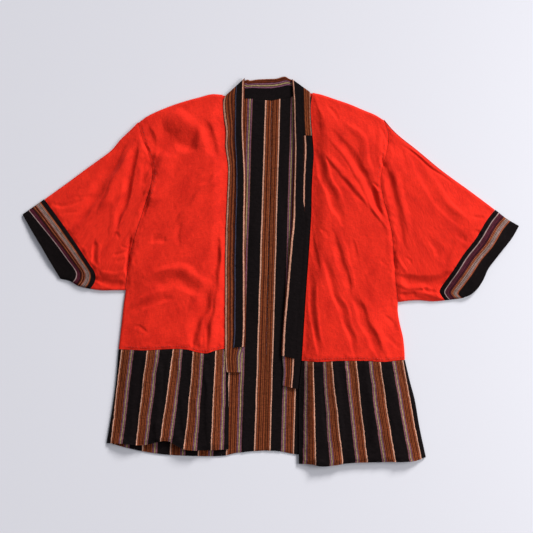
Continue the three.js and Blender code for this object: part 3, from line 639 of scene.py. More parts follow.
def top_height(half, places, d, seams, lowest=LOWEST):
    """Height of an upper layer's top, in millimetres."""
    z = LOFT + puff(half, places, d) + folds_at(places) + crinkle(places, 1) + seam_dips(places, seams)
    z = HIGHEST - SOFTENING * np.logaddexp(0, (HIGHEST - z) / SOFTENING)
    return lowest + SOFTENING * np.logaddexp(0, (z - lowest) / SOFTENING)


# ---- meshes ----


def finer(first, count, both):
    """Stations from 0 to 1, close ones first (or at both ends) and then even steps."""
    near = np.array(first, float)
    if both:
        middle = np.linspace(near[-1], 1 - near[-1], count)[1:-1]
        return np.concatenate([near, middle, 1 - near[::-1]])
    return np.concatenate([near, np.linspace(near[-1], 1, count)[1:]])


def lengths(grid):
    """Distance across and along a grid of points, from its first row and column."""
    across = np.zeros(grid.shape[:2])
    across[:, 1:] = np.cumsum(np.linalg.norm(np.diff(grid, axis=1), axis=2), axis=1)
    along = np.zeros(grid.shape[:2])
    along[1:] = np.cumsum(np.linalg.norm(np.diff(grid, axis=0), axis=2), axis=0)
    return across, along


WEAVE_UNIT = 10  # the weave is counted in centimetres
SHARP_ANGLE = math.radians(50)


def shell(name, outer, inner, closed, stripe, finish):
    """A closed body between two grids. stripe gives UV.x and UV.y of the dye for each point."""
    rows, columns = outer.shape[:2]
    count = rows * columns
    index = np.arange(count).reshape(rows, columns)
    nxt = np.roll(index, -1, axis=1)
    strips = columns if closed else columns - 1
    a, b = index[:-1, :strips], index[1:, :strips]
    c, d = nxt[1:, :strips], nxt[:-1, :strips]
    faces = [np.stack([a, b, c, d], -1).reshape(-1, 4)]
    faces.append(np.stack([a, d, c, b], -1).reshape(-1, 4) + count)
    top, after = index[0, :strips], nxt[0, :strips]
    faces.append(np.stack([top, after, after + count, top + count], -1))
    low, low_after = index[-1, :strips], nxt[-1, :strips]
    faces.append(np.stack([low_after, low, low + count, low_after + count], -1))
    if not closed:
        near, near_low = index[:-1, 0], index[1:, 0]
        faces.append(np.stack([near_low, near, near + count, near_low + count], -1))
        far, far_low = index[:-1, -1], index[1:, -1]
        faces.append(np.stack([far, far_low, far_low + count, far + count], -1))
    faces = np.concatenate(faces)
    places = np.concatenate([outer.reshape(-1, 3), inner.reshape(-1, 3)]) * MM
    first = places[faces[:, 0]]
    volume = np.einsum("ij,ij->", first, np.cross(places[faces[:, 1]], places[faces[:, 2]]))
    volume += np.einsum("ij,ij->", first, np.cross(places[faces[:, 2]], places[faces[:, 3]]))
    if volume < 0:
        faces = faces[:, ::-1]
    mesh = bpy.data.meshes.new(name)
    mesh.from_pydata(places.tolist(), [], faces.tolist())
    mesh.polygons.foreach_set("use_smooth", np.ones(len(faces), bool))
    across, along = lengths(outer)
    weave = np.stack([across, along], -1).reshape(-1, 2) / WEAVE_UNIT
    for layer_name, values in (("dye", stripe.reshape(-1, 2)), ("weave", weave)):
        layer = mesh.uv_layers.new(name=layer_name)
        both = np.concatenate([values, values])
        layer.data.foreach_set("uv", both[faces.ravel()].astype(np.float32).ravel())
    mesh.set_sharp_from_angle(angle=SHARP_ANGLE)
    mesh.materials.append(finish)
    return placed(name, mesh)


def grid_uv(grid_shape):
    """Even shares across and down a grid, for cloth without stripes."""
    rows, columns = grid_shape
    u, v = np.meshgrid(np.linspace(0, 1, columns), np.linspace(0, 1, rows))
    return np.stack([u, v], -1)


def plan_area(plan):
    """Area of a plan grid in square millimetres."""
    a, b = plan[1:, 1:] - plan[:-1, :-1], plan[1:, :-1] - plan[:-1, 1:]
    return float(np.abs(a[..., 0] * b[..., 1] - a[..., 1] * b[..., 0]).sum() / 2)


EASE = 1.04  # cloth taken up by its folds
CUTS = []


def cloth(piece, plan, layers=1):
    """Joins a piece to the frame and states the size that it was cut to."""
    node_name = piece.name.removesuffix("_cloth")
    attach(piece, "root")
    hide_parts(node_name)
    widths = np.linalg.norm(np.diff(plan, axis=1), axis=2).sum(axis=1)
    runs = np.linalg.norm(np.diff(plan, axis=0), axis=2).sum(axis=0)
    width = float(widths.max()) * layers * EASE * MM
    length = float(runs.max()) * EASE * MM
    area = min(plan_area(plan) * layers * EASE**2 * MM * MM, width * length)
    CUTS.append((node_name, round(width, 3), round(length, 3), round(area, 4)))


def upper_panel(name, half, edges, across, along, seams, stripe, finish):
    """An upper layer, rounded down at its outer edges and square at its seams."""
    plan = patch(edges, across, along)
    d, inwards = rim_at(half, plan)
    reach = np.minimum(d / RIM, 1)
    rounding = quarter_round(reach)
    height = top_height(half, plan, d, seams)
    outer = np.dstack([plan, FOOT + (height - FOOT) * rounding])
    under = plan + CLOTH_WALL * (1 - reach)[..., None] * inwards
    inner = np.dstack([under, FOOT + (height - CLOTH_WALL - FOOT) * rounding])
    uv = stripe(plan) if stripe else grid_uv(plan.shape[:2])
    piece = shell(name, outer, inner, False, uv, finish)
    cloth(piece, plan)


SAG = 0.175  # mean rise of a tube's under side
LAST_DYE = 0.97  # where a cuff's stripes stop, short of their repeat


def tube(name, half, edges, across, along, seams, finish, along_dye=False):
    """A flattened tube: each ring goes over the top and comes back along the surface.

    With along_dye it is a cuff, with its stripes across its run and less loft at its mouth.
    """
    plan = patch(edges, across, along)
    d, inwards = rim_at(half, plan)
    reach = np.minimum(d / RIM, 1)
    rounding = quarter_round(reach)
    height = top_height(half, plan, d, seams, LOWEST_SLEEVE)
    if along_dye:
        kept = 1 - CUFF_FALL * smooth_step(np.asarray(along))[:, None]
        height = LOWEST_SLEEVE + (height - LOWEST_SLEEVE) * kept
    below = slice(1, -1, 2)
    lifted = SAG * (1 + lattice_noise(plan, 16, 31)) * smooth_step(d / RIM)

    def ring(wall):
        moved_in = plan + wall * (1 - reach)[..., None] * inwards
        over = np.dstack([moved_in, FOOT + (height - wall - FOOT) * rounding])
        if wall > 0:
            under_z = np.full(d.shape, BACK_WALL) + lifted
        else:
            under_z = FOOT * (1 - quarter_round(d / UNDER_RIM)) + lifted
        under = np.dstack([moved_in, under_z])[:, below][:, ::-1]
        return np.concatenate([over, under], axis=1)

    outer = ring(0.0)
    inner = ring(CLOTH_WALL)
    uv = grid_uv(outer.shape[:2])
    if along_dye:
        run = lengths(plan)[1] / CUFF_REPEAT
        run = np.concatenate([run, run[:, below][:, ::-1]], axis=1)
        uv = np.stack([np.minimum(run, LAST_DYE), uv[..., 0]], -1)
    piece = shell(name, outer, inner, True, uv, finish)
    cloth(piece, plan, layers=2)


SOFT_ACROSS = 0.006  # shares of a flat layer over which its edges are rounded
SOFT_ALONG = 0.003
FLAT_EDGE = 0.35  # share of its thickness left at its very edges


def flat_layer(name, edges, across, along, low, high, relief, stripe, finish):
    """A thin layer with softened edges and shallow creases."""
    plan = patch(edges, across, along)
    u = np.minimum(np.asarray(across), 1 - np.asarray(across))
    v = np.minimum(np.asarray(along), 1 - np.asarray(along))
    soft = quarter_round(np.minimum(u[None, :] / SOFT_ACROSS, v[:, None] / SOFT_ALONG))
    wall = high - low
    base, raised = relief(plan)
    outer = np.dstack([plan, low + wall * (FLAT_EDGE + (1 - FLAT_EDGE) * soft) + raised])
    inner = np.dstack([plan, low + base])
    uv = stripe(plan) if stripe else grid_uv(plan.shape[:2])
    piece = shell(name, outer, inner, False, uv, finish)
    cloth(piece, plan)


# ---- materials ----

DYES = {
    "red": (222, 38, 20),
    "deep_red": (206, 30, 14),
    "black": (17, 12, 13),
    "brown": (122, 62, 34),
    "rust": (92, 38, 20),
    "dark_brown": (58, 24, 15),
    "dim": (100, 62, 52),
    "pink": (196, 142, 120),
    "purple": (118, 76, 96),
    "dark_purple": (58, 30, 38),
    "cream": (150, 130, 92),
    "blue_grey": (52, 52, 70),
    "plum": (72, 26, 38),
    "grey": (138, 116, 108),
    "orange": (168, 90, 58),
    "light": (152, 126, 124),
    "grey_green": (124, 112, 104),
    "grey_pink": (172, 124, 104),
    "thread": (150, 22, 16),
    "floor": (222, 222, 230),
}


def linear(name):
    """A dye's colour for the shader, from its everyday 0 to 255 numbers."""
    shares = np.array(DYES[name]) / 255
    made = np.where(shares <= 0.04045, shares / 12.92, ((shares + 0.055) / 1.055) ** 2.4)
    return (*[float(value) for value in made], 1.0)


def node(tree, kind, inputs=None, **settings):
    made = tree.nodes.new(kind)
    for key, value in settings.items():
        setattr(made, key, value)
    for key, value in (inputs or {}).items():
        if isinstance(value, bpy.types.NodeSocket):
            tree.links.new(value, made.inputs[key])
        else:
            made.inputs[key].default_value = value
    return made


def ramp(tree, factor, stops, interpolation):
    """A colour ramp from (place, dye name) pairs."""
    made = node(tree, "ShaderNodeValToRGB", {"Fac": factor})
    made.color_ramp.interpolation = interpolation
    elements = made.color_ramp.elements
    while len(elements) > 1:
        elements.remove(elements[-1])
    elements[0].position = stops[0][0]
    elements[0].color = linear(stops[0][1])
    for place, dye in stops[1:]:
        elements.new(place).color = linear(dye)
    return made.outputs["Color"]


def stripe_stops(text, reach):
    """Stops from text such as "pink 0, brown 0.05", with their places drawn out by reach."""
    stops = []
    for part in text.split(","):
        dye, place = part.split()
        stops.append((float(place) * reach, dye))
    return stops


def stretched_noise(tree, source, scale, detail, roughness):
    mapped = node(tree, "ShaderNodeMapping", {"Vector": source, "Scale": scale}).outputs["Vector"]
    inputs = {"Vector": mapped, "Scale": 1.0, "Detail": detail, "Roughness": roughness}
    return node(tree, "ShaderNodeTexNoise", inputs).outputs["Fac"]


def spread(tree, value, low, high):
    """A noise value, mostly 0.3 to 0.7, spread from low to high."""
    inputs = {"Value": value, "From Min": 0.3, "From Max": 0.7, "To Min": low, "To Max": high}
    return node(tree, "ShaderNodeMapRange", inputs).outputs["Result"]


def product(tree, first, second):
    return node(tree, "ShaderNodeMath", {0: first, 1: second}, operation="MULTIPLY").outputs["Value"]


def added(tree, first, second):
    return node(tree, "ShaderNodeMath", {0: first, 1: second}, operation="ADD").outputs["Value"]


def new_material(name):
    """A material, its tree and its shader."""
    material = bpy.data.materials.new(name)
    material.use_nodes = True
    return material, material.node_tree, material.node_tree.nodes["Principled BSDF"]


# each noise in the cloth, per centimetre: scale across, scale along, detail and roughness
NOISES = {
    "warp": (11.0, 1.1, 3.0, 0.5),
    "weft": (1.3, 9.0, 3.0, 0.5),
    "cloud": (0.28, 0.2, 4.0, 0.6),
    "stray": (0.12, 0.16, 1.0, 0.5),
    "pucker": (0.1, 1.2, 1.0, 0.5),
    "ribs": (0.7, 3.0, 2.0, 0.5),
    "crease": (1.6, 1.2, 5.0, 0.62),
}
THREAD_RISE = 0.0009  # metres of bump
CREASE_RISE = 0.0022
CREASE_STRENGTH = 0.35


def cloth_noise(tree, weave, name):
    across, along, detail, roughness = NOISES[name]
    return stretched_noise(tree, weave, (across, along, 1.0), detail, roughness)


def cloth_material(
    name, stripes=None, wobble=0.014, rough=0.86, sheen=0.02, shine=0.05, slub=0.28, ticks=0.2, mottle=0.08,
    nap=0.6, reach=1.0,
):
    """Hand-woven cotton: warp and weft threads with slubs, uneven dye, crinkle and a soft nap."""
    material, tree, shader = new_material(name)
    weave = node(tree, "ShaderNodeUVMap", uv_map="weave").outputs["UV"]
    warp = cloth_noise(tree, weave, "warp")
    weft = cloth_noise(tree, weave, "weft")
    cloud = cloth_noise(tree, weave, "cloud")
    if stripes:
        dye = node(tree, "ShaderNodeUVMap", uv_map="dye").outputs["UV"]
        across = node(tree, "ShaderNodeSeparateXYZ", {"Vector": dye}).outputs["X"]
        stray = cloth_noise(tree, weave, "stray")
        pucker = cloth_noise(tree, weave, "pucker")
        near = spread(tree, pucker, -0.6 * wobble, 0.6 * wobble)
        shift = added(tree, spread(tree, stray, -wobble, wobble), near)
        place = added(tree, across, shift)
        share = node(tree, "ShaderNodeMath", {0: place}, operation="FRACT").outputs["Value"]
        colour = ramp(tree, share, stripe_stops(stripes, reach), "CONSTANT")
    else:
        colour = ramp(tree, cloud, [(0.3, "deep_red"), (0.55, "red")], "LINEAR")
    threads = product(tree, spread(tree, warp, 1 - slub, 1 + slub), spread(tree, weft, 1 - slub, 1 + slub))
    ribs = cloth_noise(tree, weave, "ribs")
    threads = product(tree, threads, spread(tree, ribs, 1 - ticks, 1 + ticks))
    worn = product(tree, threads, spread(tree, cloud, 1 - mottle, 1 + mottle))
    toned = node(tree, "ShaderNodeHueSaturation", {"Color": colour, "Value": worn})
    tree.links.new(toned.outputs["Color"], shader.inputs["Base Color"])
    tree.links.new(spread(tree, warp, rough - 0.06, rough + 0.08), shader.inputs["Roughness"])
    shader.inputs["Sheen Weight"].default_value = sheen
    shader.inputs["Sheen Roughness"].default_value = 0.45
    shader.inputs["Specular IOR Level"].default_value = shine
    crease = cloth_noise(tree, weave, "crease")
    fine = {"Height": product(tree, warp, weft), "Strength": nap, "Distance": THREAD_RISE}
    full = {"Height": crease, "Strength": CREASE_STRENGTH, "Distance": CREASE_RISE}
    full["Normal"] = node(tree, "ShaderNodeBump", fine).outputs["Normal"]
    tree.links.new(node(tree, "ShaderNodeBump", full).outputs["Normal"], shader.inputs["Normal"])
    return material


# Stripes: each dye with the share of the repeat at which it begins. The last runs to the repeat's end.
LINING_REACH = 1.12  # the lining's coloured stripes take more of each repeat, and its black less
BODY_REPEAT = (
    "pink 0, dark_brown 0.04, brown 0.06, rust 0.095, dark_brown 0.125, brown 0.15, dark_brown 0.185,"
    "brown 0.205, dark_brown 0.24, rust 0.262, brown 0.285, dark_brown 0.315, purple 0.338,"
    "dark_purple 0.372, cream 0.39, dark_purple 0.428, purple 0.444, dim 0.476, black 0.494"
)
# from a cuff's seam to its mouth
RIGHT_CUFF_STRIPES = (
    "black 0, dark_brown 0.125, orange 0.155, dark_brown 0.18, grey 0.195, dark_purple 0.225, grey 0.245,"
    "dim 0.275, light 0.29, dark_purple 0.315, orange 0.33, black 0.355, rust 0.38, black 0.4,"
    "orange 0.415, black 0.435, rust 0.455, black 0.475, plum 0.51, light 0.625, black 0.655"
)
LEFT_CUFF_STRIPES = (
    "black 0, light 0.14, plum 0.17, dark_purple 0.225, plum 0.25, black 0.31, plum 0.335,"
    "black 0.36, orange 0.38, black 0.4, orange 0.425, dark_brown 0.445, grey 0.46, dark_purple 0.49,"
    "grey 0.51, dim 0.54, light 0.555, dark_purple 0.58, orange 0.595, dark_brown 0.625, black 0.65"
)
# over a strip's own width, from its free edge to its sewn edge
RIGHT_COLLAR_STRIPES = (
    "purple 0, dark_purple 0.08, cream 0.12, dark_purple 0.2, purple 0.23, black 0.27, brown 0.31,"
    "dark_brown 0.38, brown 0.43, rust 0.5, dark_brown 0.57, brown 0.62, dark_brown 0.7, rust 0.75,"
    "brown 0.8, dark_brown 0.86, grey_pink 0.9"
)
LEFT_UPPER_STRIPES = (
    "black 0, dark_brown 0.6, brown 0.64, dark_brown 0.71, brown 0.75, rust 0.81, dark_brown 0.86,"
    "brown 0.89, grey 0.95"
)
LEFT_LOWER_STRIPES = (
    "grey_green 0, purple 0.08, brown 0.16, dark_brown 0.24, rust 0.29, dark_brown 0.36, brown 0.41,"
    "dark_brown 0.48, pink 0.54, dark_brown 0.61, black 0.64"
)
RIGHT_OVER_STRIPES = "rust 0, dark_brown 0.08, pink 0.13, dark_brown 0.25, black 0.29, blue_grey 0.88"
LEFT_OVER_STRIPES = "rust 0, dark_brown 0.06, pink 0.1, black 0.21"
NECK_STRIPES = (
    "brown 0, dark_brown 0.07, rust 0.11, dark_brown 0.17, purple 0.21, dark_purple 0.26, cream 0.29,"
    "dark_purple 0.35, purple 0.38, black 0.43"
)


def make_materials():
    return {
        "red": cloth_material(
            "red_cloth", slub=0.08, ticks=0.04, mottle=0.06, rough=0.84, sheen=0.04, shine=0.16, nap=0.95
        ),
        "stripe": cloth_material("striped_cloth", BODY_REPEAT, wobble=0.016),
        "lining": cloth_material("lining_cloth", BODY_REPEAT, wobble=0.006, reach=LINING_REACH),
        "cuff_right": cloth_material("cuff_cloth_right", RIGHT_CUFF_STRIPES, wobble=0.01),
        "cuff_left": cloth_material("cuff_cloth_left", LEFT_CUFF_STRIPES, wobble=0.01),
        "collar_right": cloth_material("collar_right", RIGHT_COLLAR_STRIPES),
        "collar_left": cloth_material("collar_left", LEFT_LOWER_STRIPES),
        "collar_left_upper": cloth_material("collar_left_upper", LEFT_UPPER_STRIPES),
        "over_right": cloth_material("over_collar_right", RIGHT_OVER_STRIPES),
        "over_left": cloth_material("over_collar_left", LEFT_OVER_STRIPES),
        "neck": cloth_material("neck_cloth", NECK_STRIPES, wobble=0.01),
    }


# ---- pieces of one side ----

ACROSS_FRONT = finer([0, 0.0015, 0.005, 0.01, 0.017, 0.026, 0.036, 0.048], 118, False)
ACROSS_SLEEVE = finer([0, 0.001, 0.003, 0.006, 0.01, 0.015, 0.021, 0.03], 150, True)
ALONG_SLEEVE = np.linspace(0, 1, 110)
ALONG_CUFF = np.linspace(0, 1, 34)
ALONG_FRONT = np.linspace(0, 1, 250)
ALONG_BAND = np.linspace(0, 1, 96)


# whole repeats added to a stripe's count, which keep it above 0
BAND_REPEATS = 8
LINING_REPEATS = 20


def band_phase(half):
    """Place in the stripes' repeat, from the pink stripes' places along the seam and the hem."""

    def drawn_out(values):
        """The values with one more at each end, three steps away."""
        first = values[0] - 3 * (values[1] - values[0])
        last = values[-1] + 3 * (values[-1] - values[-2])
        return np.concatenate([[first], values, [last]])

    def counted(x, pinks):
        return np.interp(x, drawn_out(pinks), drawn_out(half["inward"] * np.arange(float(len(pinks)))))

    def stripe(plan):
        x, y = plan[..., 0], plan[..., 1]
        seam_y = half["band_seam"][0, 1]
        hem_y = half["hem"][0, 1]
        k = np.clip((seam_y - y) / (seam_y - hem_y), -0.05, 1.05)
        phase = (1 - k) * counted(x, half["seam_pinks"]) + k * counted(x, half["hem_pinks"])
        return np.stack([phase + BAND_REPEATS, y / 100], -1)

    return stripe


# seams that pucker the upper layer: edge, depth and reach
SEAMS = (
    ("band_seam", 1.9, 4.5),
    ("armhole", 1.8, 4.5),
    ("cuff_seam", 1.8, 4.0),
    ("front_edge", 1.2, 4.0),
    ("band_front", 1.2, 4.0),
)


def sewn_run(half, name, depth, reach):
    return edge(half, name)(SEAM_SHARES), depth, reach


def seams_of(half):
    return [sewn_run(half, *seam) for seam in SEAMS]


def body_side(half):
    return joined(edge(half, "armhole"), edge(half, "side_seam"), ARMHOLE_SHARE)


def make_front(half, finishes):
    side = half["side"]
    seams = seams_of(half)
    edges = {
        "top": turned_round(edge(half, "shoulder")),
        "bottom": edge(half, "band_seam"),
        "side": body_side(half),
        "front": edge(half, "front_edge"),
    }
    upper_panel(
        f"front_{side}_cloth", half, edges, ACROSS_FRONT, ALONG_FRONT, seams, None, finishes["red"],
    )
    band = {
        "top": moved(edges["bottom"], 0, -SEAM_GAP),
        "bottom": edge(half, "hem"),
        "side": edge(half, "band_side"),
        "front": edge(half, "band_front"),
    }
    hem = sewn_run(half, "hem", 2.2, 5.0)
    upper_panel(
        f"band_{side}_cloth", half, band, ACROSS_FRONT, ALONG_BAND, seams + [hem],
        band_phase(half), finishes["stripe"],
    )


def make_sleeve(half, finishes):
    side = half["side"]
    out = -half["inward"]
    seams = seams_of(half)
    cuff_seam = edge(half, "cuff_seam")
    sleeve = {
        "top": moved(edge(half, "armhole"), out * SEAM_GAP, SEAM_GAP),
        "bottom": cuff_seam,
        "side": edge(half, "sleeve_top"),
        "front": turned_round(edge(half, "sleeve_under")),
    }
    cuff = {
        "top": moved(cuff_seam, out * SEAM_GAP, 0),
        "bottom": edge(half, "cuff_mouth"),
        "side": edge(half, "cuff_top"),
        "front": turned_round(edge(half, "cuff_under")),
    }
    tube(
        f"sleeve_{side}_cloth", half, sleeve, ACROSS_SLEEVE, ALONG_SLEEVE, seams, finishes["red"],
    )
    mouth = sewn_run(half, "cuff_mouth", 1.6, 4.0)
    tube(
        f"cuff_{side}_cloth", half, cuff, ACROSS_SLEEVE, ALONG_CUFF, seams + [mouth],
        finishes[f"cuff_{side}"], along_dye=True,
    )


def centre_x(y):
    share = (y - CENTRE_BOTTOM[1]) / (CENTRE_TOP[1] - CENTRE_BOTTOM[1])
    return CENTRE_BOTTOM[0] + share * (CENTRE_TOP[0] - CENTRE_BOTTOM[0])


def half_of(line, half):
    """The part of a line from its own side to the centre seam, running to the centre."""
    fine = np.linspace(0, 1, 400)
    places = line(fine)
    beyond = (places[:, 0] - centre_x(places[:, 1])) * half["inward"]
    share = fine[np.argmin(np.abs(beyond + GAP))]
    if half["inward"] > 0:
        return lambda t: line(listed(t) * share)
    return lambda t: line(1 - listed(t) * (1 - share))


def inset(half, line, distance):
    """The line moved in from the nearest outer edge."""

    def made(t):
        places = line(t)
        _, inwards = rim_at(half, places)
        return places + distance * inwards

    return made


def under_relief(plan):
    """Shallow creases in the side that lies on the surface, and none in the other."""
    creases = 0.28 * np.maximum(crinkle(plan, 17), 0) + 0.3 * np.maximum(-folds_at(plan) / 4, 0)
    return np.clip(creases, 0, 0.75), np.zeros(plan.shape[:2])


def make_back(half, finishes):
    side = half["side"]
    neck = half_of(smooth_line(NECK_SEWN), half)
    shoulder = inset(half, turned_round(edge(half, "shoulder")), BACK_INSET)
    offset = -half["inward"] * GAP
    low_centre = (centre_x(BACK_BAND_MIDDLE) + offset, BACK_BAND_MIDDLE)
    top_y = float(neck(1)[0, 1])
    low_x = float(inset(half, edge(half, "side_seam"), BACK_INSET)(1)[0, 0])
    edges = {
        "top": joined(shoulder, neck, 0.68),
        "bottom": straight((low_x, half["back_band_y"]), low_centre),
        "side": moved(body_side(half), half["inward"] * GAP, 0),
        "front": straight((centre_x(top_y) + offset, top_y), low_centre),
    }
    flat_layer(
        f"back_{side}_cloth", edges, np.linspace(0, 1, 70), np.linspace(0, 1, 120), 0.0, BACK_WALL,
        under_relief, None, finishes["red"],
    )


LINING_LEVEL = 22  # run beside a collar strip over which the lining's folds begin


def lining_relief(plan):
    """Low folds where the lining shows between the collar strips."""
    x, y = plan[..., 0], plan[..., 1]
    far = np.inf
    showing = True
    for half in (RIGHT, LEFT):
        from_free, *_ = nearest(edge(half, "collar_free")(np.linspace(0, 1, 50)), plan)
        far = np.minimum(far, from_free)
        rows = half["collar_free"]
        showing = showing & ((x - np.interp(-y, -rows[:, 1], rows[:, 0])) * half["inward"] > 0)
    far = smooth_step(far / LINING_LEVEL) * showing
    wave = 0.9 + 1.1 * lattice_noise(turned(plan, 88, 3.0), 24, 61) + 0.5 * crinkle(plan, 23)
    seam = np.exp(-(((x - centre_x(y)) / 3.2) ** 2))
    raised = far * np.clip(wave, 0, 3) * (1 - 0.8 * seam)
    return raised, raised


def lining_phase(half):
    """Place in the stripes' repeat, from one pink stripe of the lining."""
    (top_x, top_y), (low_x, low_y) = half["lining_pink"]

    def stripe(plan):
        x, y = plan[..., 0], plan[..., 1]
        pink = top_x + (y - top_y) * (top_x - low_x) / (top_y - low_y)
        phase = (x - pink) * half["inward"] / half["lining_repeat"]
        return np.stack([phase + LINING_REPEATS, y / 100], -1)

    return stripe


def make_lining(half, finishes):
    side = half["side"]
    neck = moved(half_of(smooth_line(NECK_SEWN), half), 0, 2 * GAP)
    shoulder = inset(half, turned_round(edge(half, "shoulder")), LINING_INSET)
    armhole = moved(edge(half, "armhole"), half["inward"] * LINING_INSET, 0)
    below = joined(edge(half, "side_seam"), edge(half, "band_side"), 0.4)
    hem = moved(half_of(smooth_line(BACK_HEM), half), 0, BACK_INSET)
    offset = -half["inward"] * GAP
    top_y, low_y = float(neck(1)[0, 1]), float(hem(1)[0, 1])
    low_side = inset(half, below, LINING_INSET)
    outer_side = joined(part_of(armhole, 0.06, 0.9), part_of(low_side, 0.1, 0.88), 0.5)
    corner = np.array([outer_side(1)[0, 0], hem(0.04)[0, 1]])
    low_centre = np.array([centre_x(low_y) + offset, low_y])
    edges = {
        "top": joined(part_of(shoulder, 0.1, 0.9), neck, 0.66),
        "bottom": pinned(hem, corner, low_centre),
        "side": outer_side,
        "front": straight((centre_x(top_y) + offset, top_y), low_centre),
    }
    across = np.concatenate([np.linspace(0, 0.6, 50), np.linspace(0.6, 1, 70)[1:]])
    flat_layer(
        f"lining_{side}_cloth", edges, across, np.linspace(0, 1, 230), FOOT, LINING_TOP, lining_relief,
        lining_phase(half), finishes["lining"],
    )


def make_back_band(finishes):
    right = inset(RIGHT, edge(RIGHT, "band_side"), BACK_INSET)
    left = inset(LEFT, edge(LEFT, "band_side"), BACK_INSET)
    hem = smooth_line(BACK_HEM)
    right_top = (float(right(0.02)[0, 0]), RIGHT["back_band_y"] - GAP)
    left_top = (float(left(0.02)[0, 0]), LEFT["back_band_y"] - GAP)
    middle = (centre_x(BACK_BAND_MIDDLE), BACK_BAND_MIDDLE - GAP)
    edges = {
        "top": joined(straight(right_top, middle), straight(middle, left_top), 0.5),
        "bottom": pinned(hem, right(0.99)[0], left(0.99)[0]),
        "side": right,
        "front": left,
    }

    def stripe(plan):
        return np.where(
            (plan[..., 0] < centre_x(plan[..., 1]))[..., None],
            lining_phase(RIGHT)(plan),
            lining_phase(LEFT)(plan),
        )

    flat_layer(
        "band_back_cloth", edges, np.linspace(0, 1, 160), np.linspace(0, 1, 60), 0.0, BACK_WALL,
        under_relief, stripe, finishes["stripe"],
    )


# ---- collar ----

ACROSS_COLLAR = np.concatenate([np.linspace(0, 0.8, 17), np.linspace(0.8, 1, 8)[1:]])


def collar_edges(half):
    band = half["band_front"][1:]
    beside = band[band[:, 1] > half["collar_end"][1]]
    rows = np.concatenate([half["collar_turn"], half["front_edge"][1:], beside, [half["collar_end"]]])
    rows = rows + np.array([half["inward"] * LOOSE_GAP, 0])
    return smooth_line(rows), edge(half, "collar_free")


def collar_section(half, share):
    """The free edge, the width and the way back from it, at shares of the strip's length."""
    sewn, free = (line(share) for line in half["collar"])
    width = np.hypot(*(sewn - free).T)
    return free, width, (sewn - free) / width[:, None]


def share_at(half, y):
    shares = np.linspace(0, 1, 401)
    free, width, back = collar_section(half, shares)
    middle = free[:, 1] + back[:, 1] * width / 2
    return float(shares[np.argmax(middle <= y)])


def turn_round(share):
    return quarter_round(np.asarray(share) / TURN_SHARE)


def over_width(half, shares):
    """Width of the over-collar at shares of the strip's length: it changes below a height."""
    first, last, height = half["over_widths"]
    places = half["collar"][1](shares)
    return first + (last - first) * smooth_step((height - places[:, 1]) / OVER_WIDENING)


DYE_MARGIN = 0.02


def inside_repeat(shares):
    """Shares of a strip's width, kept just inside one repeat of its stripes."""
    return np.clip(shares * (1 - 2 * DYE_MARGIN) + DYE_MARGIN, DYE_MARGIN, 1 - DYE_MARGIN)


def strip_relief(plan, seed):
    """Soft unevenness of a stitched strip, with light puckers."""
    return 0.35 * lattice_noise(turned(plan, 90, 2.0), 17, seed) + 0.22 * lattice_noise(plan, 7, seed + 1)


def level_cut(half, across, y):
    """Shares of the strip's length, for each place across it, at which it passes a height."""
    shares = np.linspace(0, 1, 2001)
    free, width, back = collar_section(half, shares)
    distance = UNDER_COLLAR_INSET + (1 - across)[None, :] * (width[:, None] - UNDER_COLLAR_INSET)
    height = free[:, 1, None] + distance * back[:, 1, None]
    return shares[np.argmax(height <= y, axis=0)]


COLLAR_DIP = 0.9  # where a strip is sewn down
COLLAR_DIP_REACH = 3.5


def make_collar_body(half, node_name, start, end, count, finish):
    """start and end are shares of the strip's length, for each place across it or for all."""
    steps = np.linspace(0, 1, count)[:, None]
    shares = (1 - steps) * start + steps * end + np.zeros((1, len(ACROSS_COLLAR)))
    free, width, back = collar_section(half, shares.ravel())
    free, back = free.reshape(*shares.shape, 2), back.reshape(*shares.shape, 2)
    width = width.reshape(shares.shape)
    from_free = (1 - ACROSS_COLLAR)[None, :] * (width - UNDER_COLLAR_INSET)
    distance = UNDER_COLLAR_INSET + from_free
    plan = free + distance[..., None] * back
    rounding = quarter_round(from_free / COLLAR_RIM) * turn_round(shares)
    seam_side = np.exp(-(((width - distance) / COLLAR_DIP_REACH) ** 2))
    z = COLLAR_UNDER + COLLAR_EDGE + (COLLAR_TOP - COLLAR_UNDER - COLLAR_EDGE) * rounding
    under_over = from_free < over_width(half, shares.ravel()).reshape(shares.shape)
    relief = np.where(under_over & (shares < half["over_share"]), 0, strip_relief(plan, 41))
    z = z + relief - COLLAR_DIP * seam_side * (0.6 + 0.4 * lattice_noise(plan, 9, 43))
    outer = np.dstack([plan, z])
    inner = np.dstack([plan, np.full(z.shape, COLLAR_UNDER)])
    uv = np.stack([inside_repeat(from_free / (width - UNDER_COLLAR_INSET)), shares], -1)
    piece = shell(f"{node_name}_cloth", outer, inner, False, uv, finish)
    cloth(piece, plan)


